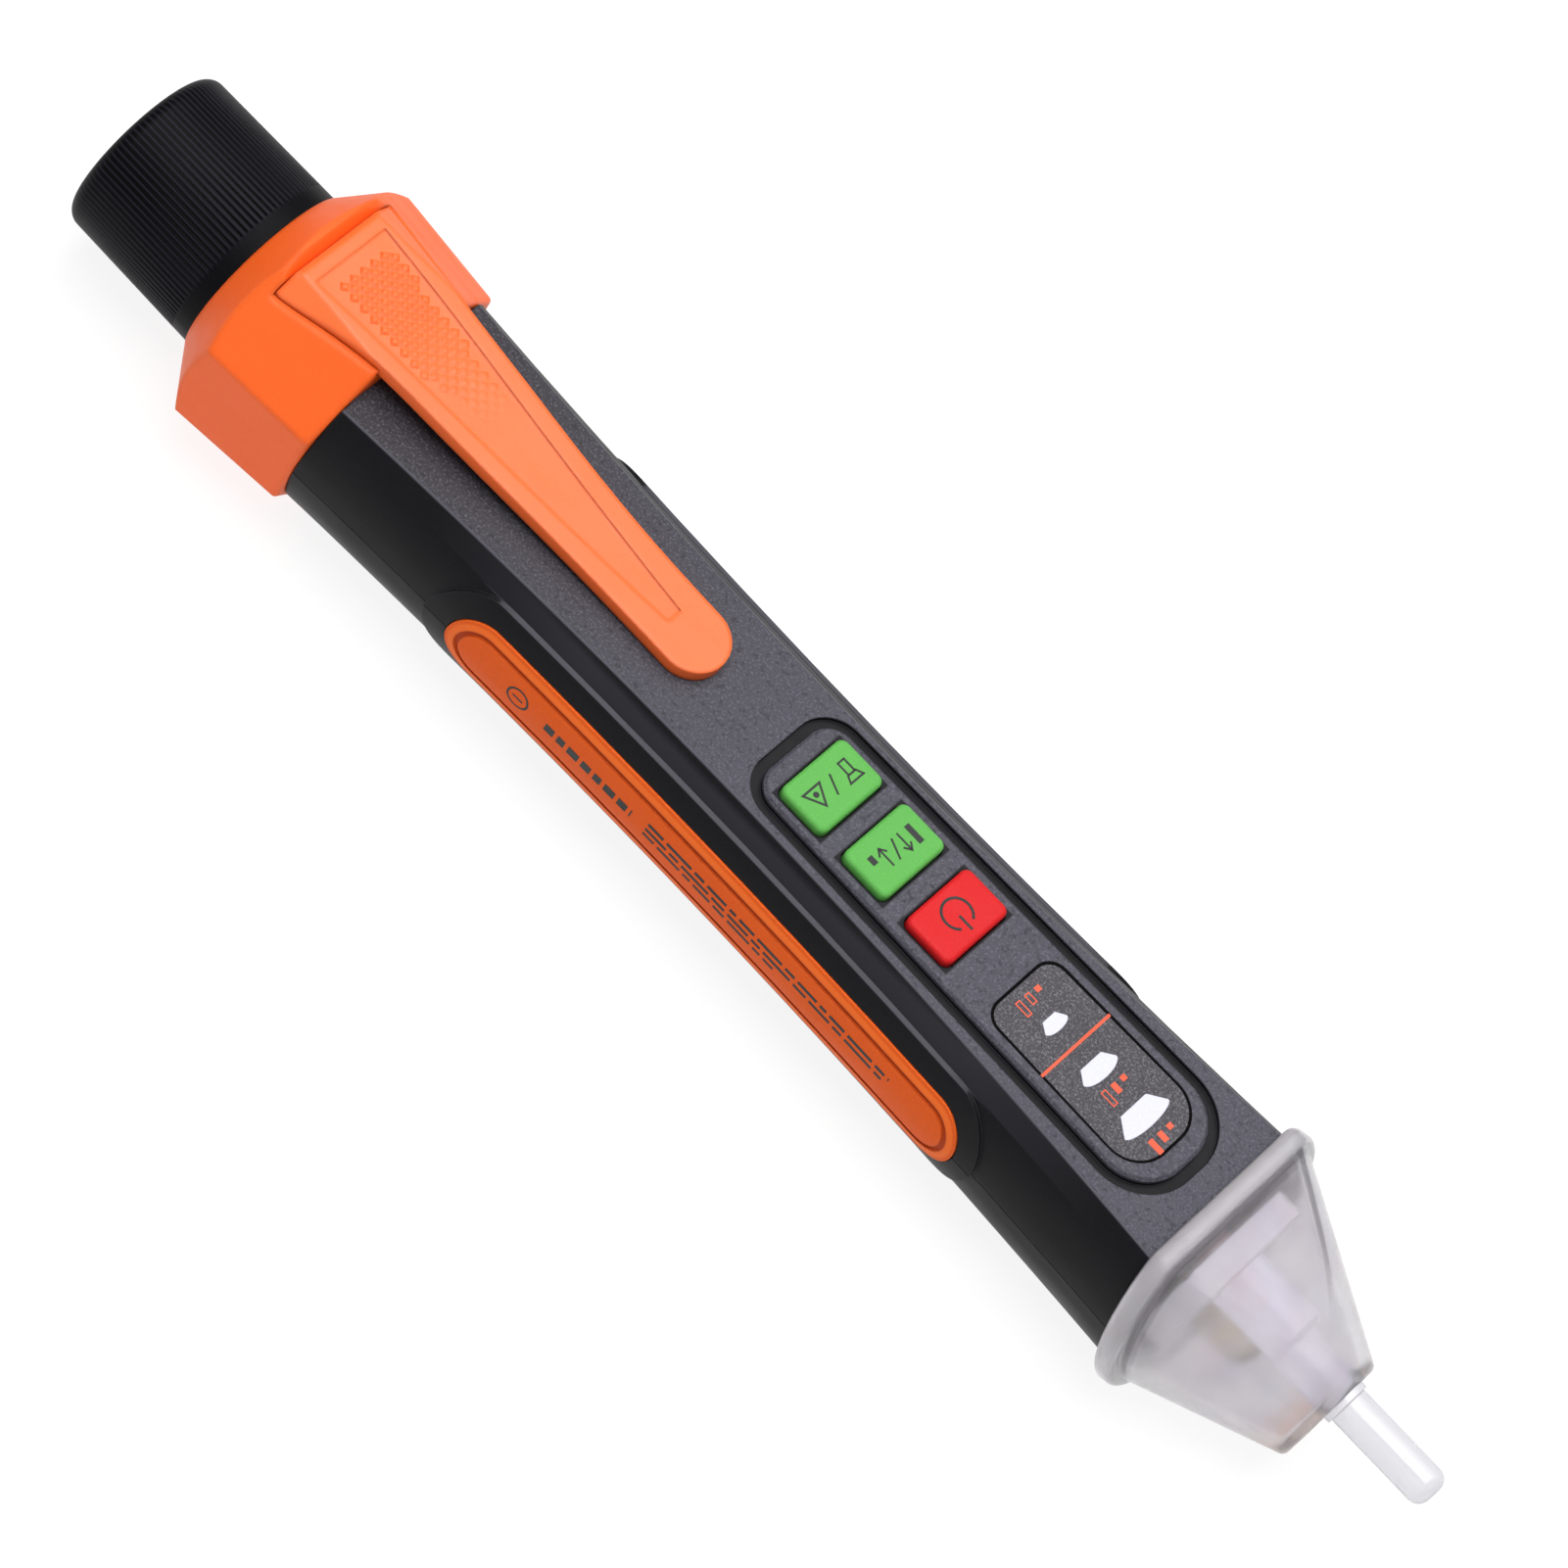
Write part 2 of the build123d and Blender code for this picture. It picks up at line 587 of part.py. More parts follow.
with BuildPart() as clip_collar:
    with BuildSketch(cross_plane(COLLAR_RIDGE)):
        RegularPolygon(radius=COLLAR_BACK_FACET, side_count=8, rotation=22.5, major_radius=False)
    with BuildSketch(cross_plane(COLLAR_FRONT)):
        RegularPolygon(radius=COLLAR_FRONT_FACET, side_count=8, rotation=22.5, major_radius=False)
    loft(ruled=True)
    with BuildSketch(cross_plane(COLLAR_START)):
        RegularPolygon(radius=COLLAR_BACK_FACET, side_count=8, rotation=22.5, major_radius=False)
    extrude(amount=COLLAR_RIDGE - COLLAR_START)
    flared = COLLAR_TAIL_RADIUS + COLLAR_FLARE * (COLLAR_FRONT - COLLAR_START)
    flare = [(COLLAR_START, 0), (COLLAR_START, COLLAR_TAIL_RADIUS), (COLLAR_FRONT, flared), (COLLAR_FRONT, 0)]
    add(ring_of_revolution(flare), mode=Mode.INTERSECT)
    split(bisect_by=plan_plane(-AXIS_HEIGHT), keep=Keep.TOP)
    front_rim = clip_collar.faces().filter_by(Axis.X).sort_by(Axis.X)[-1]
    fillet(front_rim.edges(), radius=0.5)
    with BuildSketch(cross_plane(COLLAR_START - 1)):
        Circle(THREAD_ROOT + 0.5)
    extrude(amount=3.0, mode=Mode.SUBTRACT)
    with BuildSketch(cross_plane(FLANGE_START - CLEARANCE)):
        Circle(FLANGE_RADIUS + CLEARANCE)
    extrude(amount=4.0, mode=Mode.SUBTRACT)
    with BuildSketch(cross_plane(CASE_TAIL - CLEARANCE)):
        flat_round(SPIGOT_RADIUS + CLEARANCE, PANEL_Z + CLEARANCE, BACK_Z - CLEARANCE)
    extrude(amount=FAR, mode=Mode.SUBTRACT)
    add(shoulder_cut.part, mode=Mode.SUBTRACT)
    add(CLIP_POCKET, mode=Mode.SUBTRACT)
    add(clip_bead(CLIP_BEAD + 0.06, 5.1), mode=Mode.SUBTRACT)
export(clip_collar.part, "clip_collar")

with BuildPart() as pocket_clip:
    add(CLIP_SLAB)
    root_edge = pocket_clip.edges().filter_by(Axis.Y).group_by(Axis.X)[0].sort_by(Axis.Z)[0]
    chamfer(root_edge, length=0.5)
    root_face = pocket_clip.faces().filter_by(Axis.X).sort_by(Axis.X)[0]
    fillet(root_face.edges().sort_by(Axis.Z)[-3:], radius=0.6)
    add(clip_bead(CLIP_BEAD, 5.0))
    with BuildSketch(plan_plane(0)):
        with BuildLine():
            near = list(CLIP_FIELD)
            far = [(station, -half) for station, half in reversed(near)]
            Polyline(*near, *far, close=True)
        make_face()
    extrude(amount=FAR, mode=Mode.SUBTRACT)
    add((CLIP_SLAB & clip_top(-CLIP_SINK)) & CLIP_PRISM)
export(pocket_clip.part, "pocket_clip")

# ================================ keys and indicator ============================================

for name, station in KEY_CENTRES.items():
    with BuildPart() as key:
        with BuildSketch(plan_plane(LIP_BOTTOM)):
            with Locations((station, 0)):
                RectangleRounded(KEY_LENGTH + 2 * LIP_OUT, KEY_WIDTH + 2 * LIP_OUT, 1.0)
        extrude(amount=LIP_TOP - LIP_BOTTOM)
        with BuildSketch(plan_plane(LIP_BOTTOM)):
            with Locations((station, 0)):
                RectangleRounded(KEY_LENGTH, KEY_WIDTH, 0.8)
        extrude(amount=KEY_TOP - LIP_BOTTOM)
        fillet(key.faces().sort_by(Axis.Z)[-1].edges(), radius=0.45)
        with BuildSketch(plan_plane(LIP_BOTTOM)):
            with Locations((station, 0)):
                Rectangle(KEY_LENGTH - 0.8, KEY_WIDTH - 0.9)
        extrude(amount=1.6, mode=Mode.SUBTRACT)
        with BuildSketch(plan_plane(PLUNGER_BOTTOM)):
            with Locations((station, 0)):
                Circle(PLUNGER_RADIUS)
        extrude(amount=2.0)
    export(key.part, name)

with BuildPart() as indicator_window:
    with BuildSketch(plan_plane(WINDOW_BOTTOM)):
        add(window_face(0.0))
    extrude(amount=WINDOW_TOP - WINDOW_BOTTOM)
    for start, depth, corner, tail_half, corner_half in SLOTS:
        with BuildSketch(plan_plane(WINDOW_TOP - SLOT_DEPTH)):
            with BuildLine():
                tail = [(start, tail_half), (start, -tail_half)]
                corners = [(start + corner, corner_half), (start + corner, -corner_half)]
                Polyline(corners[0], *tail, corners[1])
                ThreePointArc(corners[1], (start + depth, 0), corners[0])
            make_face()
        extrude(amount=FAR, mode=Mode.SUBTRACT)
export(indicator_window.part, "indicator_window")

with BuildPart() as light_guide:
    with BuildSketch(plan_plane(6.75)):
        with Locations(((GUIDE_START + GUIDE_END) / 2, 0)):
            RectangleRounded(GUIDE_END - GUIDE_START, 2 * GUIDE_HALF, 0.7)
    extrude(amount=WINDOW_BOTTOM - 0.03 - 6.75)
export(light_guide.part, "light_guide")

# ================================ electronics ===================================================

with BuildPart() as circuit_board:
    with BuildSketch(plan_plane(BOARD_BOTTOM)):
        with Locations(((BOARD_START + BOARD_END) / 2, 0)):
            RectangleRounded(BOARD_END - BOARD_START, 2 * BOARD_HALF, 0.8)
        with Locations(*[(station, 0) for station in POST_STATIONS]):
            Circle(POST_RADIUS + 0.15, mode=Mode.SUBTRACT)
        with Locations((BOARD_END, 0)):
            Rectangle(4.4, 2 * POST_RADIUS + 0.3, mode=Mode.SUBTRACT)
    extrude(amount=BOARD_TOP - BOARD_BOTTOM)
export(circuit_board.part, "circuit_board")

with BuildPart() as key_switches:
    with BuildSketch(plan_plane(BOARD_TOP)):
        with Locations(*[(station, 0) for station in KEY_CENTRES.values()]):
            RectangleRounded(4.0, 4.0, 0.4)
            Circle(1.3, mode=Mode.SUBTRACT)
    extrude(amount=0.28)
export(key_switches.part, "key_switches")

with BuildPart() as indicator_leds:
    for station in [slot[0] + slot[1] / 2 for slot in SLOTS]:
        with BuildSketch(plan_plane(BOARD_TOP)):
            with Locations((station, -1.2), (station, 1.2)):
                Rectangle(1.0, 1.6)
        extrude(amount=0.45)
        with BuildSketch(plan_plane(BOARD_TOP + 0.45)):
            with Locations((station, -1.2), (station, 1.2)):
                Circle(0.4)
        extrude(amount=0.1)
export(indicator_leds.part, "indicator_leds")

with BuildPart() as controller_chip:
    with BuildSketch(plan_plane(BOARD_BOTTOM - 0.1)):
        with Locations((114.5, 0)):
            Rectangle(5.0, 4.0)
    extrude(amount=-1.3)
    with BuildSketch(plan_plane(BOARD_BOTTOM)):
        with GridLocations(1.0, 5.0, 5, 2):
            with Locations((114.5, 0)):
                Rectangle(0.4, 1.3)
    extrude(amount=-0.25)
export(controller_chip.part, "controller_chip")

with BuildPart() as buzzer:
    with BuildSketch(plan_plane(BOARD_BOTTOM)):
        with Locations((122.6, 0)):
            Circle(4.2)
    extrude(amount=-3.4)
    fillet(buzzer.faces().sort_by(Axis.Z)[0].edges(), radius=0.4)
    with BuildSketch(plan_plane(BOARD_BOTTOM - 3.5)):
        with Locations((122.6, 0)):
            Circle(0.7)
    extrude(amount=1.2, mode=Mode.SUBTRACT)
export(buzzer.part, "buzzer")

with BuildPart() as small_components:
    with BuildSketch(plan_plane(BOARD_BOTTOM)):
        with Locations((109.2, 1.2)):
            Rectangle(1.6, 0.8)
        with Locations(*[(station, y) for station in (98.8, 109.2, 129.0) for y in (-4.0, 4.0)]):
            Rectangle(1.6, 0.8)
    extrude(amount=-0.5)
    with BuildSketch(plan_plane(BOARD_BOTTOM)):
        with Locations((101.6, 3.6), (101.6, -3.6)):
            Rectangle(2.9, 1.5)
    extrude(amount=-1.1)
export(small_components.part, "small_components")

# ================================ head ==========================================================


def cone_roof(drop):
    """Sloping plane over the shroud, lowered by drop."""
    (back, high), (front, low) = CONE_ROOF
    lean = Vector(high - low, 0, front - back).normalized()
    return Plane(origin=ORIGIN + Vector(back, 0, high) - lean * drop, x_dir=(0, 1, 0), z_dir=lean)


def oblique_cone(inset):
    """Solid cone of the shroud with its axis dropping to the front, moved in by inset."""
    (x0, z0, r0), (x1, z1, r1) = CONE_BACK, CONE_FRONT
    with BuildPart() as cone:
        with BuildSketch(cross_plane(x0)):
            with Locations((0, z0)):
                Circle(r0 - inset)
        with BuildSketch(cross_plane(x1)):
            with Locations((0, z1)):
                Circle(r1 - inset)
        loft(ruled=True)
    return cone.part


with BuildPart() as shroud_hollow:
    add(oblique_cone(SHROUD_WALL))
    split(bisect_by=cross_plane(CONE_FRONT[0] - SHROUD_WALL), keep=Keep.BOTTOM)
    split(bisect_by=cone_roof(SHROUD_WALL), keep=Keep.BOTTOM)
    split(bisect_by=plan_plane(CONE_BOTTOM + SHROUD_WALL), keep=Keep.TOP)
    split(bisect_by=head_plane(-0.5), keep=Keep.TOP)

with BuildPart() as head_rim:
    with BuildSketch(head_plane(CLEARANCE)):
        flat_round(RIM_RADIUS, RIM_TOP, -AXIS_HEIGHT * cos(radians(HEAD_SLANT)), RIM_Z)
        fillet(vertices(), radius=1.6)
    extrude(amount=RIM_THICKNESS)
    fillet(head_rim.faces().sort_by(Axis.X)[-1].edges(), radius=0.7)

with BuildPart() as head_shroud:
    add(oblique_cone(0.0))
    front_edge = head_shroud.faces().filter_by(Axis.X).sort_by(Axis.X)[-1].edges()
    fillet(front_edge, radius=0.8)
    split(bisect_by=cone_roof(0.0), keep=Keep.BOTTOM)
    split(bisect_by=plan_plane(CONE_BOTTOM), keep=Keep.TOP)
    split(bisect_by=head_plane(1.0), keep=Keep.TOP)
    add(head_rim.part)
    add(shroud_hollow.part, mode=Mode.SUBTRACT)
    with BuildSketch(head_plane(-1.0)):
        flat_round(NOSE_RADIUS + CLEARANCE, PANEL_Z - 1.0 + CLEARANCE, BACK_Z + 1.0 - CLEARANCE)
    extrude(amount=NOSE_LENGTH + 1.0 + CLEARANCE, mode=Mode.SUBTRACT)
    split(bisect_by=plan_plane(-AXIS_HEIGHT), keep=Keep.TOP)
    add(cylinder_between(150.0, 156.0, ROD_ROOT_RADIUS + 0.08), mode=Mode.SUBTRACT)
export(head_shroud.part, "head_shroud")

with BuildPart() as probe_pipe:
    add(cylinder_between(BARREL_START, BARREL_END, BARREL_RADIUS, BARREL_Z))
    chamfer(probe_pipe.edges().filter_by(GeomType.CIRCLE).sort_by(Axis.X)[-1], length=0.5)
    add(cylinder_between(ROD_START, ROD_SHOULDER, ROD_ROOT_RADIUS))
    add(cylinder_between(ROD_START, LENGTH, ROD_RADIUS))
    fillet(probe_pipe.edges().filter_by(GeomType.CIRCLE).sort_by(Axis.X)[-1], radius=1.3)
    add(cylinder_between(BARREL_START, BARREL_START + 5.6, 1.65, BARREL_Z), mode=Mode.SUBTRACT)
export(probe_pipe.part, "probe_pipe")

with BuildPart() as head_carrier:
    with BuildSketch(cross_plane(CARRIER_START)):
        Circle(CARRIER_RADIUS)
        with Locations((0, BARREL_Z)):
            Circle(1.65, mode=Mode.SUBTRACT)
        with Locations((0, TORCH_Z)):
            Circle(TORCH_RADIUS + 0.08, mode=Mode.SUBTRACT)
        with Locations((0, ANTENNA_Z)):
            Circle(ANTENNA_RADIUS + 0.07, mode=Mode.SUBTRACT)
        with Locations((0, CARRIER_TOP + FAR), (0, CARRIER_BOTTOM - FAR)):
            Rectangle(4 * FAR, 2 * FAR, mode=Mode.SUBTRACT)
    extrude(amount=CARRIER_END - CARRIER_START)
export(head_carrier.part, "head_carrier")

with BuildPart() as antenna:
    add(cylinder_between(132.8, CARRIER_END, ANTENNA_RADIUS, ANTENNA_Z))
    add(cylinder_between(133.6, 135.4, 1.6, ANTENNA_Z))
export(antenna.part, "antenna")


def round_led(radius, start, length, z):
    """Domed round LED with a flange and two leads, pointing at the nose."""
    with BuildPart() as led:
        with BuildSketch(side_plane()):
            with BuildLine():
                shoulder = start + length - radius
                Polyline((shoulder, z + radius), (start, z + radius), (start, z), (start + length, z))
                RadiusArc((start + length, z), (shoulder, z + radius), -radius)
            make_face()
        revolve(axis=Axis(ORIGIN + Vector(0, 0, z), (1, 0, 0)))
        with BuildSketch(cross_plane(start, z)):
            Circle(radius + 0.4)
        extrude(amount=-0.9)
        with BuildSketch(cross_plane(start - 0.9, z)):
            with Locations((-1.27, 0), (1.27, 0)):
                Rectangle(0.5, 0.5)
        extrude(amount=-1.6)
    return led.part


export(round_led(1.5, 136.5, 6.4, BARREL_Z), "alarm_led")
export(round_led(TORCH_RADIUS, 136.5, 9.1, TORCH_Z), "torch_led")
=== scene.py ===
"""Looks of the non-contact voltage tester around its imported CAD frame."""

import math

import bmesh
import bpy
from mathutils import Matrix, Vector
from mathutils.bvhtree import BVHTree


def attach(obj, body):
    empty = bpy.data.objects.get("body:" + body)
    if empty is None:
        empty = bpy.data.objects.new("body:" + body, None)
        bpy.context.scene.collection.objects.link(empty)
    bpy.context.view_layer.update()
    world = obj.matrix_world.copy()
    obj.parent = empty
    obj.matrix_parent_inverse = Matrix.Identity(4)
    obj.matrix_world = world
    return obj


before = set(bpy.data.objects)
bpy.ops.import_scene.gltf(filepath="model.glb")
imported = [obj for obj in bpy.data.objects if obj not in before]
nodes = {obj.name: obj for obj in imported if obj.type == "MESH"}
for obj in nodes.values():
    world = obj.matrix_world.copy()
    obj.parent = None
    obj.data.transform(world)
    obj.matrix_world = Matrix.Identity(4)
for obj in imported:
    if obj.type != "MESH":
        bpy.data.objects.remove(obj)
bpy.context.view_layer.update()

# Sizes in mm. A station is a distance along the tool from its tail, and a height is from its axis.
LENGTH, AXIS_HEIGHT = 165.0, 12.2
KEY_LENGTH, KEY_WIDTH, KEY_TOP = 5.5, 8.5, 9.5
TORCH_KEY, RANGE_KEY, POWER_KEY = 84.8, 92.6, 100.5  # stations
PANEL_EDGE, SHOULDER_EDGE = 8.1, 6.2  # heights where the case turns from its side to its panel
CAP_RIBS, GRIP_MIDDLE, GRIP_HALF = 96, 7.4, 6.7
INLAY_MIDDLE, INLAY_SPINE = 83.15, 27.85  # station, and half the run between the round ends
HEAD_JOINT, SLANT = 135.2, math.radians(12.4)  # station of the joint at the axis, and its lean
WINDOW_TOP = 8.55


def at(x, y, z):
    """Point from a station along the tool, a sideways distance and a height from its axis, in mm."""
    return Vector(((x - LENGTH / 2) / 1000, y / 1000, (z + AXIS_HEIGHT) / 1000))


# ---- materials -----------------------------------------------------------------------------------


def srgb(r, g, b):
    """Linear colour from 0 to 255 display values."""
    shown = (r / 255, g / 255, b / 255)
    return tuple(c / 12.92 if c <= 0.04045 else ((c + 0.055) / 1.055) ** 2.4 for c in shown) + (1.0,)


class Look:
    """A node material around one Principled shader."""

    def __init__(self, name, color, rough=0.5, **sockets):
        self.mat = bpy.data.materials.new(name)
        self.mat.use_nodes = True
        self.tree = self.mat.node_tree
        self.shader = self.tree.nodes["Principled BSDF"]
        self.coords = self.add("ShaderNodeTexCoord").outputs["Object"]
        self.color = None
        self.shader.inputs["Base Color"].default_value = color
        self.shader.inputs["Roughness"].default_value = rough
        self.base = color
        self.bumps = None
        for socket, value in sockets.items():
            self.shader.inputs[socket.replace("_", " ")].default_value = value

    def add(self, kind, **inputs):
        """New node, with each input linked to a socket or set to a value."""
        node = self.tree.nodes.new(kind)
        for key, value in inputs.items():
            if hasattr(value, "links"):
                self.tree.links.new(value, node.inputs[key])
            else:
                node.inputs[key].default_value = value
        return node

    def noise(self, size, detail=2.0, stretch=(1, 1, 1)):
        """Noise with features of about size mm, as a value from 0 to 1."""
        mapping = self.add("ShaderNodeMapping", Vector=self.coords)
        mapping.inputs["Scale"].default_value = stretch
        node = self.add("ShaderNodeTexNoise", Scale=1000.0 / size, Detail=detail)
        self.tree.links.new(mapping.outputs["Vector"], node.inputs["Vector"])
        return node.outputs["Fac"]

    def math(self, operation, a, b=0.0, clamp=False):
        """Result of a sum on sockets or numbers."""
        node = self.tree.nodes.new("ShaderNodeMath")
        node.operation = operation
        node.use_clamp = clamp
        for i, value in enumerate((a, b)):
            if hasattr(value, "links"):
                self.tree.links.new(value, node.inputs[i])
            else:
                node.inputs[i].default_value = value
        return node.outputs[0]

    def ramp(self, value, low, high):
        """Mask that goes from 0 where value is low to 1 where it is high. low may be the larger."""
        node = self.tree.nodes.new("ShaderNodeMapRange")
        node.clamp = True
        self.tree.links.new(value, node.inputs["Value"])
        node.inputs["From Min"].default_value = low
        node.inputs["From Max"].default_value = high
        return node.outputs["Result"]

    def tint(self, mask, color, amount=1.0):
        """Mixes another colour in where mask is 1."""
        node = self.tree.nodes.new("ShaderNodeMix")
        node.data_type = "RGBA"
        factor = self.math("MULTIPLY", mask, amount, clamp=True)
        self.tree.links.new(factor, node.inputs["Factor"])
        if self.color is None:
            node.inputs["A"].default_value = self.base
        else:
            self.tree.links.new(self.color, node.inputs["A"])
        node.inputs["B"].default_value = color
        self.color = node.outputs["Result"]
        self.tree.links.new(self.color, self.shader.inputs["Base Color"])
        return self

    def roughen(self, mask, low, high):
        """Roughness from low to high as mask goes from 0 to 1."""
        node = self.tree.nodes.new("ShaderNodeMapRange")
        self.tree.links.new(mask, node.inputs["Value"])
        node.inputs["To Min"].default_value = low
        node.inputs["To Max"].default_value = high
        self.tree.links.new(node.outputs["Result"], self.shader.inputs["Roughness"])
        return self

    def bump(self, height, distance, strength=1.0):
        """Relief of distance mm."""
        node = self.add("ShaderNodeBump", Strength=strength, Distance=distance / 1000)
        self.tree.links.new(height, node.inputs["Height"])
        if self.bumps is not None:
            self.tree.links.new(self.bumps, node.inputs["Normal"])
        self.bumps = node.outputs["Normal"]
        self.tree.links.new(self.bumps, self.shader.inputs["Normal"])
        return self

    def soften(self, radius):
        """Rounds the look of sharp edges by radius mm."""
        node = self.add("ShaderNodeBevel", Radius=radius / 1000)
        node.samples = 6
        self.bumps = node.outputs["Normal"]
        self.tree.links.new(self.bumps, self.shader.inputs["Normal"])
        return self

    def edges(self, radius):
        """1 on sharp edges and 0 away from them."""
        node = self.add("ShaderNodeBevel", Radius=radius / 1000)
        node.samples = 6
        geometry = self.add("ShaderNodeNewGeometry")
        dot = self.tree.nodes.new("ShaderNodeVectorMath")
        dot.operation = "DOT_PRODUCT"
        self.tree.links.new(node.outputs["Normal"], dot.inputs[0])
        self.tree.links.new(geometry.outputs["Normal"], dot.inputs[1])
        return self.ramp(dot.outputs["Value"], 0.995, 0.86)

    def place(self):
        """Station along the tool, sideways distance and height from the axis, all in mm."""
        node = self.add("ShaderNodeSeparateXYZ", Vector=self.coords)
        shifts = (("X", LENGTH / 2), ("Y", 0.0), ("Z", -AXIS_HEIGHT))
        return [
            self.math("ADD", self.math("MULTIPLY", node.outputs[name], 1000.0), shift)
            for name, shift in shifts
        ]

    def away(self, value, centre=0.0):
        """Distance of value from the centre."""
        return self.math("ABSOLUTE", self.math("SUBTRACT", value, centre))

    def band(self, value, centre, half, fade):
        """1 within half of the centre, falling to 0 over fade."""
        return self.ramp(self.away(value, centre), half + fade, half)

    def both(self, *masks):
        """Product of masks."""
        total = masks[0]
        for mask in masks[1:]:
            total = self.math("MULTIPLY", total, mask)
        return total


def moulded(name, color, rough, grain=0.25, depth=0.012, soften=0.25, mottle=0.25, edge=None, **sockets):
    """Moulded plastic with a fine spark-eroded grain, slight cloudiness, and lighter edges that are partly
    wear and partly painted highlight.
    """
    look = Look(name, color, rough, **sockets)
    if soften:
        look.soften(soften)
    fine = look.noise(grain, 3.0)
    cloud = look.noise(9.0, 4.0)
    scuff = look.noise(2.2, 6.0, (0.25, 1, 1))
    dark = tuple(c * 0.72 for c in color[:3]) + (1.0,)
    look.tint(look.ramp(cloud, 0.35, 0.7), dark, mottle)
    bright = tuple(min(1, c * 1.35 + 0.004) for c in color[:3]) + (1.0,)
    look.tint(look.ramp(fine, 0.5, 0.75), bright, 0.35)
    # Lighter sharp edges: partly wear, partly a painted highlight along creases.
    if edge:
        look.tint(look.edges(0.22), edge, 0.55)
    look.roughen(look.ramp(scuff, 0.3, 0.8), rough - 0.05, rough + 0.09)
    look.bump(fine, depth)
    return look


case = moulded(
    "case_black",
    srgb(17, 17, 20),
    0.46,
    grain=0.3,
    depth=0.005,
    soften=0.18,
    edge=srgb(52, 52, 58),
    Specular_IOR_Level=0.14,
)
along_case, across_case, above_case = case.place()
off_middle = case.away(across_case)
off_axis = case.away(above_case)
# The textured panel on top: its lighter grey is partly its own finish and partly painted light from above,
# and it reads darker towards the tail as painted shade near the clip.
panel = case.ramp(above_case, PANEL_EDGE - 0.1, PANEL_EDGE + 0.02)
speckle = case.ramp(case.noise(0.24, 2.0), 0.5, 0.72)
pits = case.ramp(case.noise(0.5, 2.0), 0.45, 0.3)
case.tint(panel, srgb(56, 54, 59), 0.9)
# Painted sheen that grows towards the nose.
case.tint(case.both(panel, case.ramp(along_case, 34.0, 84.0)), srgb(76, 75, 84), 0.9)
case.tint(case.both(panel, speckle), srgb(132, 130, 142), 0.34)
case.tint(case.both(panel, pits), srgb(34, 33, 38), 0.5)
case.bump(case.both(panel, speckle), 0.02)
# The shoulder between the side and the panel, lightened by a painted sheen, and painted highlights along
# its two edges.
out = case.ramp(off_middle, 7.5, 8.0)
shoulder = case.both(
    case.ramp(off_axis, SHOULDER_EDGE, SHOULDER_EDGE + 0.1),
    case.ramp(above_case, PANEL_EDGE, PANEL_EDGE - 0.1),
)
# Painted sheen on the shoulder.
case.tint(case.both(out, case.band(along_case, 86.0, 24.0, 18.0), shoulder), srgb(44, 43, 49), 0.85)
# Painted highlight along the ridge above the inlay.
ridge_highlight = case.band(off_axis, SHOULDER_EDGE - 0.04, 0.03, 0.06)
case.tint(case.both(out, case.band(along_case, 82.6, 27.0, 5.0), ridge_highlight), srgb(116, 115, 124), 0.4)
# Painted highlight along the panel's edge.
panel_edge_highlight = case.both(
    case.band(above_case, PANEL_EDGE, 0.05, 0.12),
    case.ramp(above_case, PANEL_EDGE + 0.09, PANEL_EDGE + 0.05),
)
case.tint(panel_edge_highlight, srgb(104, 103, 112), 0.6)
# Shadow in the parting line and in the gap around each key.
case.tint(case.band(above_case, 0.0, 0.09, 0.05), srgb(8, 8, 9), 0.9)
for station in (TORCH_KEY, RANGE_KEY, POWER_KEY):
    ahead = case.math("SUBTRACT", case.away(along_case, station), KEY_LENGTH / 2)
    sideways = case.math("SUBTRACT", off_middle, KEY_WIDTH / 2)
    gap = case.ramp(case.math("MAXIMUM", ahead, sideways), 0.42, 0.26)
    case.tint(case.both(panel, gap), srgb(6, 6, 7), 0.9)
# The nose of the case inside the clear head, whitened as painted light that comes in through the head.
past_joint = case.math(
    "ADD",
    case.math("SUBTRACT", along_case, HEAD_JOINT),
    case.math("MULTIPLY", above_case, math.tan(SLANT)),
)
case.tint(case.ramp(past_joint, 0.25, 0.4), srgb(214, 210, 216), 1.0)
tube = moulded("tube_black", srgb(22, 22, 26), 0.44, Specular_IOR_Level=0.16)
cap = moulded(
    "cap_black", srgb(10, 10, 13), 0.46, soften=0.08, edge=srgb(30, 30, 36), Specular_IOR_Level=0.06
)
along_cap, across_cap, above_cap = cap.place()
rib_angle = cap.math("ARCTAN2", above_cap, across_cap)
ribs = cap.math("COSINE", cap.math("MULTIPLY", rib_angle, CAP_RIBS))
ribbed = cap.band(along_cap, GRIP_MIDDLE, GRIP_HALF, 0.4)
# Dark and light stripes around the grip: painted shade between its ribs and painted highlight on them.
cap.tint(cap.both(cap.ramp(ribs, -0.1, 0.9), ribbed), srgb(4, 4, 6), 0.9)
cap.tint(cap.both(cap.ramp(ribs, -0.4, -1.0), ribbed), srgb(34, 33, 42), 0.9)
collar = moulded(
    "collar_orange",
    srgb(243, 97, 29),
    0.48,
    grain=0.2,
    depth=0.008,
    soften=1.0,
    mottle=0.1,
    edge=srgb(255, 132, 62),
    Specular_IOR_Level=0.3,
)
# The clip is the collar's plastic in a little lighter orange: a painted sheen.
clip = moulded(
    "clip_orange_sheen",
    srgb(244, 103, 38),
    0.42,
    grain=0.2,
    depth=0.008,
    soften=0.6,
    mottle=0.08,
    edge=srgb(255, 140, 80),
    Specular_IOR_Level=0.5,
)
inlay = moulded(
    "inlay_orange",
    srgb(222, 88, 18),
    0.55,
    grain=0.2,
    depth=0.012,
    soften=0.2,
    mottle=0.12,
    edge=srgb(240, 122, 62),
    Specular_IOR_Level=0.12,
)
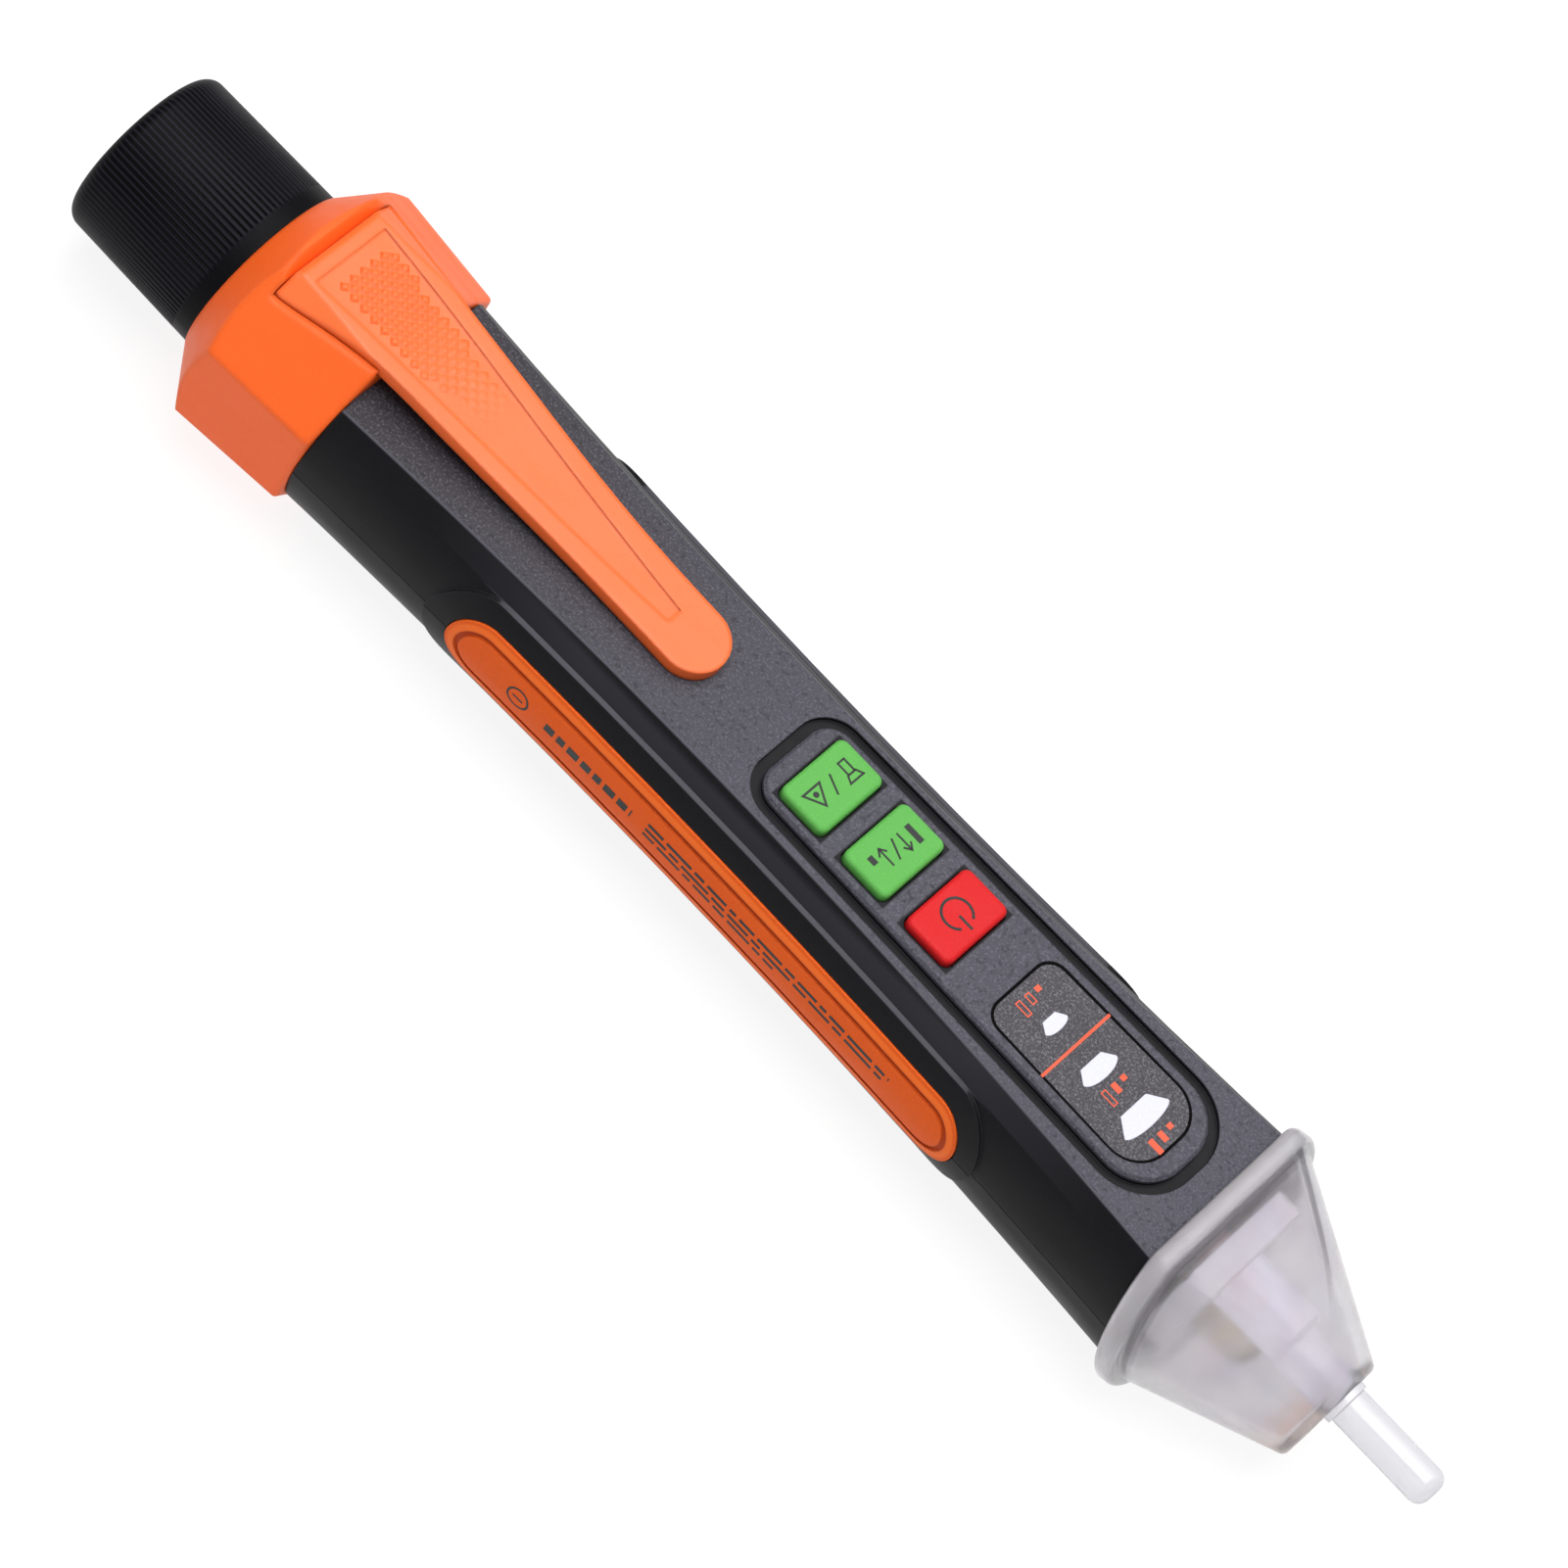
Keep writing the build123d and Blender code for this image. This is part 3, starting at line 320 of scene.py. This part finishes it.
# A dark line and a light line inside it follow the inlay's outline: painted shade as in a groove, and a
# painted highlight as on a bead.
along_inlay, _, above_inlay = inlay.place()
past_spine = inlay.math("SUBTRACT", inlay.away(along_inlay, INLAY_MIDDLE), INLAY_SPINE)
past_spine = inlay.math("MAXIMUM", past_spine, 0.0)
from_spine = inlay.math(
    "SQRT", inlay.math("ADD", inlay.math("POWER", past_spine, 2.0), inlay.math("POWER", above_inlay, 2.0))
)
inlay.tint(inlay.band(from_spine, 2.78, 0.2, 0.12), srgb(168, 58, 14), 0.8)
inlay.tint(inlay.band(from_spine, 3.45, 0.2, 0.2), srgb(244, 118, 46), 0.6)


def key_plastic(name, color, edge):
    """Slightly satin plastic of a key."""
    return moulded(
        name,
        color,
        0.5,
        grain=0.16,
        depth=0.006,
        soften=0.35,
        mottle=0.08,
        edge=edge,
        Specular_IOR_Level=0.15,
    )


green = key_plastic("key_green", srgb(92, 168, 78), srgb(120, 206, 108))
red = key_plastic("key_red", srgb(202, 30, 33), srgb(236, 70, 62))
window = moulded(
    "window_grey",
    srgb(72, 70, 75),
    0.55,
    grain=0.3,
    depth=0.03,
    soften=0.1,
    mottle=0.1,
    edge=srgb(90, 90, 94),
    Specular_IOR_Level=0.15,
)
window.tint(window.ramp(window.noise(0.2, 2.0), 0.5, 0.68), srgb(140, 137, 141), 0.5)
window.tint(window.ramp(window.noise(0.18, 2.0), 0.42, 0.3), srgb(30, 30, 32), 0.6)
ink_dark = moulded("ink_dark", srgb(22, 28, 24), 0.6, depth=0.0, soften=0)
ink_orange = moulded("ink_orange", srgb(226, 84, 50), 0.6, depth=0.0, soften=0)
# A near-black strip around the window: painted shade of the recess around it.
recess_shade = moulded("window_recess_shade", srgb(5, 5, 6), 0.7, depth=0.0, soften=0, Specular_IOR_Level=0.05)
milky = moulded("milky_white", srgb(204, 204, 218), 0.4, depth=0.002, soften=0.1, mottle=0.03)
# A whitish carrier that glows a little: painted light inside the clear head.
pale = moulded(
    "carrier_painted_glow",
    srgb(236, 233, 240),
    0.4,
    depth=0.004,
    soften=0.2,
    mottle=0.15,
    Emission_Color=srgb(232, 228, 236),
    Emission_Strength=0.18,
)
steel = Look("steel", (0.55, 0.55, 0.56, 1), 0.32, Metallic=1.0)
steel.bump(steel.noise(0.5, 3.0, (0.05, 1, 1)), 0.004).roughen(steel.noise(3.0), 0.25, 0.45)
brass = Look("brass", (0.74, 0.55, 0.24, 1), 0.3, Metallic=1.0)
brass.bump(brass.noise(0.6, 3.0), 0.004).roughen(brass.noise(3.0), 0.22, 0.4)
rubber = moulded("seal_rubber", srgb(22, 22, 23), 0.62)
chip = moulded("chip_black", srgb(26, 26, 28), 0.55)
ceramic = moulded("ceramic", srgb(176, 150, 112), 0.5)

board = Look("solder_mask", srgb(16, 92, 48), 0.3)
board.tint(board.ramp(board.noise(1.4, 1.0, (0.3, 1, 1)), 0.5, 0.54), srgb(40, 128, 70), 0.8)
board.tint(board.ramp(board.noise(0.9, 0.0), 0.72, 0.74), srgb(214, 176, 92), 1.0)
board.bump(board.noise(1.4, 1.0, (0.3, 1, 1)), 0.02)

cell = Look("cell_sleeve", srgb(52, 58, 66), 0.28, Metallic=0.4)
cell.tint(cell.ramp(cell.noise(14.0, 0.0, (1, 0.1, 0.1)), 0.5, 0.51), srgb(196, 150, 52), 1.0)
cell.bump(cell.noise(1.5, 4.0), 0.01)


def glassy(name, color, rough, low, high, ripple, soften, **sockets):
    """Clear moulded plastic, slightly frosted, with flow marks."""
    look = Look(name, color, rough, IOR=1.46, **sockets)
    look.soften(soften)
    look.roughen(look.ramp(look.noise(2.5, 4.0), 0.3, 0.7), low, high)
    look.bump(look.noise(1.1, 2.0), ripple)
    return look


CLEARNESS = 0.88
clear = glassy(
    "clear_shroud",
    srgb(238, 236, 239),
    0.18,
    0.16,
    0.22,
    0.0015,
    0.9,
    Transmission_Weight=CLEARNESS,
)
along_head, _, above_head = clear.place()
from_joint = clear.math(
    "ADD",
    clear.math("MULTIPLY", clear.math("SUBTRACT", along_head, HEAD_JOINT), math.cos(SLANT)),
    clear.math("MULTIPLY", above_head, math.sin(SLANT)),
)
clear.tint(clear.ramp(clear.noise(7.0, 2.0), 0.45, 0.65), srgb(224, 210, 216), 0.4)
clear.tint(clear.ramp(clear.noise(5.5, 2.0, (1, 1.3, 0.8)), 0.5, 0.68), srgb(212, 212, 230), 0.35)
# Painted shade in the groove next to the rolled rim.
clear.tint(clear.band(from_joint, 2.5, 0.2, 0.2), srgb(130, 126, 132), 0.7)
rolled_rim = clear.ramp(from_joint, 2.3, 2.0)
clear.tint(rolled_rim, srgb(222, 218, 222), 0.6)
see_through = clear.math("SUBTRACT", CLEARNESS, clear.math("MULTIPLY", rolled_rim, 0.22))
clear.tree.links.new(see_through, clear.shader.inputs["Transmission Weight"])
clear.tint(clear.band(from_joint, 0.15, 0.12, 0.15), srgb(150, 146, 152), 0.6)
amber = clear.both(clear.ramp(along_head, 149.5, 153.0), clear.ramp(above_head, -3.6, -6.2))
clear.tint(amber, srgb(222, 160, 104), 0.6)
pipe = glassy(
    "clear_probe",
    srgb(226, 225, 229),
    0.14,
    0.1,
    0.18,
    0.002,
    0.15,
    Transmission_Weight=0.55,
    Emission_Color=srgb(238, 236, 246),
)
# Painted shade along the outline of the clear probe.
outline_shade_facing = pipe.add("ShaderNodeLayerWeight", Blend=0.35)
pipe.tint(pipe.ramp(outline_shade_facing.outputs["Facing"], 0.35, 0.95), srgb(150, 149, 153), 0.7)
# A faint painted glow on the probe, strongest inside the head.
inside = pipe.ramp(pipe.place()[0], 154.0, 150.0)
painted_glow = pipe.math("ADD", pipe.math("MULTIPLY", inside, 0.2), 0.05)
pipe.tree.links.new(painted_glow, pipe.shader.inputs["Emission Strength"])
led_water = Look("led_clear", (0.95, 0.93, 0.86, 1), 0.06, Transmission_Weight=0.85, IOR=1.5)
led_water.tint(led_water.ramp(led_water.noise(2.0), 0.4, 0.7), srgb(250, 226, 150), 0.5)
led_pink = Look("led_diffused", srgb(236, 176, 180), 0.2, Transmission_Weight=0.5, IOR=1.5)
led_pink.tint(led_pink.ramp(led_pink.noise(1.6), 0.4, 0.7), srgb(225, 120, 128), 0.4)

finishes = {
    "upper_shell": case,
    "lower_shell": case,
    "case_screws": steel,
    "inlay_left": inlay,
    "inlay_right": inlay,
    "battery_tube": tube,
    "cell_rear": cell,
    "cell_front": cell,
    "front_contact": steel,
    "battery_strip": steel,
    "cap_seal": rubber,
    "battery_cap": cap,
    "cap_contact": steel,
    "cap_spring": steel,
    "clip_collar": collar,
    "pocket_clip": clip,
    "torch_key": green,
    "range_key": green,
    "power_key": red,
    "indicator_window": window,
    "light_guide": milky,
    "circuit_board": board,
    "key_switches": steel,
    "indicator_leds": milky,
    "controller_chip": chip,
    "buzzer": chip,
    "small_components": ceramic,
    "head_shroud": clear,
    "probe_pipe": pipe,
    "head_carrier": pale,
    "antenna": brass,
    "alarm_led": led_pink,
    "torch_led": led_water,
}
for name, look in finishes.items():
    mesh = nodes[name].data
    mesh.materials.clear()
    mesh.materials.append(look.mat)

# ---- printed and moulded marks -------------------------------------------------------------------


def piece(name, mesh, look, body):
    """Finished object from a mesh in the frame, riding on a body."""
    obj = bpy.data.objects.new(name, mesh)
    bpy.context.scene.collection.objects.link(obj)
    mesh.materials.append(look.mat)
    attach(obj, body)
    return obj


def stroke(points, width, closed=False):
    """Outlines of the straight runs of a drawn line, as four-cornered loops that meet at mitred ends."""
    count = len(points)
    ends = []
    for i in range(count):
        before = Vector(points[i - 1 if i or closed else 0])
        here = Vector(points[i])
        after = Vector(points[(i + 1) % count if i + 1 < count or closed else i])
        run_in = (here - before).normalized() if (here - before).length else (after - here).normalized()
        run_out = (after - here).normalized() if (after - here).length else run_in
        normal = Vector((-(run_in + run_out).y, (run_in + run_out).x)).normalized()
        reach = width / 2 / max(0.35, normal.dot(Vector((-run_in.y, run_in.x))))
        ends.append((here + normal * reach, here - normal * reach))
    runs = count if closed else count - 1
    pairs = [(ends[i], ends[(i + 1) % count]) for i in range(runs)]
    return [(near[0], far[0], far[1], near[1]) for near, far in pairs]


def arc(centre, radius, start, end, steps=20):
    """Points of an arc, with angles in degrees."""
    angles = [math.radians(start + (end - start) * i / steps) for i in range(steps + 1)]
    return [(centre[0] + radius * math.cos(a), centre[1] + radius * math.sin(a)) for a in angles]


MARK_SINK = 0.02  # how far a raised mark reaches into the surface under it


def raised(name, loops, place, thickness, look, body, bevel=0.015):
    """Flat loops laid on a surface by place(a, b, height) and raised by thickness mm."""
    work = bmesh.new()
    for loop in loops:
        low = [work.verts.new(place(a, b, -MARK_SINK)) for a, b in loop]
        high = [work.verts.new(place(a, b, thickness)) for a, b in loop]
        work.faces.new(high)
        work.faces.new(low[::-1])
        for i in range(len(loop)):
            j = (i + 1) % len(loop)
            work.faces.new((low[i], low[j], high[j], high[i]))
    bmesh.ops.recalc_face_normals(work, faces=work.faces)
    mesh = bpy.data.meshes.new(name)
    work.to_mesh(mesh)
    work.free()
    obj = piece(name, mesh, look, body)
    if bevel:
        modifier = obj.modifiers.new("soft_edges", "BEVEL")
        modifier.width = bevel / 1000
        modifier.segments = 2
        modifier.limit_method = "ANGLE"
    return obj


class Skin:
    """Surface of one CAD piece, for laying details on it."""

    OUTSIDE = 40  # mm from the axis, clear of the tool on every side

    def __init__(self, node):
        mesh = nodes[node].data
        faces = [tuple(p.vertices) for p in mesh.polygons]
        self.tree = BVHTree.FromPolygons([v.co for v in mesh.vertices], faces)

    def above(self, x, y, rise):
        """Point over the surface, seen from above."""
        hit = self.tree.ray_cast(at(x, y, self.OUTSIDE), Vector((0, 0, -1)))[0]
        return hit + Vector((0, 0, rise / 1000))

    def beside(self, x, z, side, rise):
        """Point off the surface, seen from one side, -1 or 1."""
        hit, normal = self.tree.ray_cast(at(x, self.OUTSIDE * side, z), Vector((0, -side, 0)))[:2]
        return hit + normal * (rise / 1000)

    def on_side(self, side):
        """Places marks on one side: a reads along the tool, b up from the axis."""
        return lambda a, b, height: self.beside(a, b, side, height)


def on_key(station):
    """Places marks on a key: a reads towards -Y, b up towards the nose."""
    return lambda a, b, height: at(station + b, -a, KEY_TOP + height)


KEY_LINE, KEY_BAR, KEY_MARK_RISE = 0.2, 0.62, 0.03
lens = stroke([(-3.05, 0.95), (-1.35, 0.95), (-1.7, 0.25), (-2.7, 0.25)], KEY_LINE, True)
handle = stroke([(-2.6, 0.25), (-2.6, -1.15), (-1.8, -1.15), (-1.8, 0.25)], KEY_LINE)
slash = stroke([(-0.45, -0.95), (0.35, 0.95)], KEY_LINE)
sign = stroke([(0.9, -0.95), (3.1, -0.95), (2.0, 1.0)], 0.22, True)
dot = [arc((2.0, -0.3), 0.3, 0, 342, 19)]
tall = stroke([(-2.5, -1.0), (-2.5, 1.05)], KEY_BAR)
rise = stroke([(-1.7, 0.35), (-1.2, 1.0), (-0.7, 0.35)], KEY_LINE)
rise += stroke([(-1.2, -1.0), (-1.2, 0.95)], KEY_LINE)
short = stroke([(2.5, -1.0), (2.5, -0.1)], KEY_BAR)
fall = stroke([(0.75, -0.35), (1.25, -1.0), (1.75, -0.35)], KEY_LINE)
fall += stroke([(1.25, 1.0), (1.25, -0.95)], KEY_LINE)
ring = stroke(arc((0, -0.15), 1.5, 122, 418, 36), 0.27)
bar = stroke([(0, 0.1), (0, 1.75)], 0.27)
for key, station, slot, loops in (
    ("torch", TORCH_KEY, "key_green", lens + handle + slash + sign + dot),
    ("range", RANGE_KEY, "key_green", tall + rise + slash + short + fall),
    ("power", POWER_KEY, "key_red", ring + bar),
):
    raised(f"{key}_mark", loops, on_key(station), KEY_MARK_RISE, ink_dark, f"{key}_key")

# ---- clip knurl ----------------------------------------------------------------------------------

PITCH, KNURL_START, KNURL_FADE, KNURL_END = 1.3, 24.2, 30.0, 42.0
STUD_RISE, STUD_HALF, STUD_TOP = 0.3, 0.46 * PITCH, 0.35  # STUD_TOP is a share of the foot
FIELD_START, FIELD_HALF, FIELD_TAPER = 22.3, 4.5, 0.085  # the sunk field narrows towards the nose
clip_skin = Skin("pocket_clip")
knurl = bmesh.new()
row = 0
while KNURL_START + row * PITCH / 2 < KNURL_END:
    x = KNURL_START + row * PITCH / 2
    rise = STUD_RISE * min(1.0, (KNURL_END - x) / (KNURL_END - KNURL_FADE))
    field_half = FIELD_HALF - FIELD_TAPER * (x - FIELD_START)
    count = int(field_half / PITCH - 0.5)
    for i in range(-count, count + 1):
        y = i * PITCH + (PITCH / 2 if row % 2 else 0.0)
        if abs(y) + PITCH / 2 > field_half - 0.1:
            continue
        base = [(x + STUD_HALF, y), (x, y + STUD_HALF), (x - STUD_HALF, y), (x, y - STUD_HALF)]
        foot = [knurl.verts.new(clip_skin.above(a, b, 0.0)) for a, b in base]
        top = [
            knurl.verts.new(clip_skin.above(x + (a - x) * STUD_TOP, y + (b - y) * STUD_TOP, rise))
            for a, b in base
        ]
        knurl.faces.new(top)
        for j in range(4):
            k = (j + 1) % 4
            knurl.faces.new((foot[j], foot[k], top[k], top[j]))
    row += 1
bmesh.ops.recalc_face_normals(knurl, faces=knurl.faces)
knurl_mesh = bpy.data.meshes.new("clip_knurl")
knurl.to_mesh(knurl_mesh)
knurl.free()
piece("clip_knurl", knurl_mesh, clip, "clip")

# ---- marks on the inlays -------------------------------------------------------------------------

DASH_GAP, ROW_HEIGHT = 0.42, 0.36
HEADING_START, HEADING_END, ROWS_START = 63.4, 74.2, 76.0


def dashes(start, end, z, height, pattern):
    """Row of plain bars in place of lettering."""
    loops = []
    x = start
    i = 0
    while x < end:
        stop = min(x + pattern[i % len(pattern)], end)
        loops += stroke([(x, z), (stop, z)], height)
        x = stop + DASH_GAP
        i += 1
    return loops


badge = stroke(arc((60.0, 0.1), 1.15, 0, 345, 24), 0.22, True) + stroke([(59.4, 0.1), (60.6, 0.1)], 0.22)
heading = dashes(HEADING_START, HEADING_END, 0.1, 1.0, (1.1, 0.9, 1.3))
rows = dashes(ROWS_START, 106.6, 0.95, ROW_HEIGHT, (1.9, 3.1, 1.2, 2.4, 0.8))
rows += dashes(ROWS_START, 106.0, 0.15, ROW_HEIGHT, (2.6, 1.1, 3.4, 1.6))
rows += dashes(ROWS_START, 92.5, -0.65, ROW_HEIGHT, (1.4, 2.8, 0.9, 2.1))
for node, side in (("inlay_left", 1), ("inlay_right", -1)):
    on_inlay = Skin(node).on_side(side)
    raised(f"marks_{node}", badge + heading + rows, on_inlay, 0.02, ink_dark, "case", 0)

# ---- indicator window ----------------------------------------------------------------------------

# For each light slot: station of its tail end, depth, depth at its corners, and half its width at
# the tail and at the corners.
SLOTS = ((112.25, 1.5, 0.95, 0.85, 1.5), (117.5, 1.95, 1.15, 1.4, 2.3), (122.8, 2.4, 1.7, 1.75, 3.05))
LEVELS = ((110.3, 1), (121.0, 2), (126.8, 3))  # station of each mark, and how many bars are filled
LINE_STATION, LINE_HALF = 115.65, 4.7
BAR_PITCH, BAR_LENGTH, BAR_STEP, BAR_WIDTH, BAR_BACK = 1.25, 0.55, 0.5, 0.62, 0.8


def on_window(x, y, height):
    """Places marks on the window's face."""
    return at(x, y, WINDOW_TOP + height)


def slot_loop(start, depth, corner, tail_half, corner_half):
    """Outline of one light slot: narrow towards the tail, bowed towards the nose."""
    bulge = depth - corner
    turns = [math.radians(a) for a in range(-90, 91, 10)]
    bow = [(start + corner + bulge * math.cos(a), corner_half * math.sin(a)) for a in turns]
    return [(start, -tail_half)] + bow + [(start, tail_half)]


def level_mark(station, filled):
    """Row of bars that climbs with the level it stands for, with the rest of them left open."""
    loops = []
    back = station - BAR_BACK
    for i in range(3):
        y = BAR_PITCH * (1 - i)
        length = BAR_LENGTH + BAR_STEP * i
        if i < filled:
            loops += stroke([(back, y), (back + length, y)], BAR_WIDTH)
        else:
            ends = ((back, -0.26), (back, 0.26), (back + length, 0.26), (back + length, -0.26))
            corners = [(x, y + off) for x, off in ends]
            loops += stroke(corners, 0.12, True)
    return loops


for i, values in enumerate(SLOTS):
    raised(f"light_slot_{i + 1}", [slot_loop(*values)], on_window, 0.03, milky, "case", 0.02)
# Painted shade of the recess around the window, drawn as a thin black strip on its face.
rim = arc((124.1, 1.25), 3.58, 90, 0, 8) + arc((124.1, -1.25), 3.58, 0, -90, 8)
rim += arc((110.2, -2.7), 1.88, 270, 180, 6) + arc((110.2, 2.7), 1.88, 180, 90, 6)
raised("window_rim", stroke(rim, 0.34, True), on_window, 0.015, recess_shade, "case", 0)
line = stroke([(LINE_STATION, -LINE_HALF), (LINE_STATION, LINE_HALF)], 0.3)
raised("window_line", line, on_window, 0.02, ink_orange, "case", 0)
for station, filled in LEVELS:
    loops = level_mark(station, filled)
    raised(f"level_mark_{filled}", loops, on_window, 0.02, ink_orange, "case", 0)

# ---- room ----------------------------------------------------------------------------------------

FLOOR_HALF, FLOOR_Z = 3.0, -0.00003  # metres; a hair under the tool, so that no two faces coincide
floor_corners = [(x * FLOOR_HALF, y * FLOOR_HALF, FLOOR_Z) for x, y in ((-1, -1), (1, -1), (1, 1), (-1, 1))]
floor_mesh = bpy.data.meshes.new("floor")
floor_mesh.from_pydata(floor_corners, [], [(0, 1, 2, 3)])
floor = bpy.data.objects.new("floor", floor_mesh)
bpy.context.scene.collection.objects.link(floor)
paper = Look(
    "floor_paper",
    (0.16, 0.16, 0.16, 1),
    0.9,
    Emission_Color=(1, 1, 1, 1),
    Emission_Strength=0.88,
    Specular_IOR_Level=0.05,
)
paper.bump(paper.noise(1.5, 3.0), 0.01)
floor_mesh.materials.append(paper.mat)

world = bpy.data.worlds.new("studio")
bpy.context.scene.world = world
world.use_nodes = True
world.node_tree.nodes["Background"].inputs["Color"].default_value = (1.0, 1.0, 1.0, 1)
world.node_tree.nodes["Background"].inputs["Strength"].default_value = 0.24


LAMP_AIM = Vector((0, 0, 0.01))


def area(name, place, size, watts):
    """Soft rectangular lamp at a place, aimed at the tool."""
    data = bpy.data.lights.new(name, "AREA")
    data.shape = "RECTANGLE"
    data.size, data.size_y = size
    data.energy = watts
    lamp = bpy.data.objects.new(name, data)
    bpy.context.scene.collection.objects.link(lamp)
    lamp.location = place
    lamp.rotation_euler = (LAMP_AIM - Vector(place)).to_track_quat("-Z", "Y").to_euler()


area("key", (-0.05, 0.0, 0.8), (0.7, 0.6), 7.6)
area("back", (0.05, 0.5, 0.7), (0.6, 0.35), 1.6)
area("fill", (0.1, -0.6, 0.5), (0.8, 0.3), 0.4)

# ---- camera --------------------------------------------------------------------------------------

ROLL = math.radians(32.0)  # how far the view comes round from straight above to the right side
TILT = math.radians(5.5)  # how far it leans towards the nose
DOWN = math.radians(46.2)  # slope of the tool in the picture
DISTANCE, VIEW_WIDTH, SENSOR_WIDTH = 713.67, 137.66, 36.0
TARGET_STATION, TARGET_SHIFT = 81.0, 1.97
towards_camera = Vector((math.sin(TILT), -math.sin(ROLL) * math.cos(TILT), math.cos(ROLL) * math.cos(TILT)))
along = (Vector((1, 0, 0)) - towards_camera * towards_camera.x).normalized()
across = towards_camera.cross(along)
right = along * math.cos(DOWN) + across * math.sin(DOWN)
up = across * math.cos(DOWN) - along * math.sin(DOWN)
target = at(TARGET_STATION, 0, 0) + across * (TARGET_SHIFT / 1000)
camera_data = bpy.data.cameras.new("camera")
camera_data.sensor_width = SENSOR_WIDTH
camera_data.lens = SENSOR_WIDTH * DISTANCE / VIEW_WIDTH
camera_data.clip_start = 0.01
camera_data.clip_end = 20.0
camera = bpy.data.objects.new("camera", camera_data)
bpy.context.scene.collection.objects.link(camera)
camera.matrix_world = Matrix((right, up, towards_camera)).transposed().to_4x4()
camera.location = target + towards_camera * (DISTANCE / 1000)
bpy.context.scene.camera = camera
bpy.context.scene.view_settings.view_transform = "Standard"
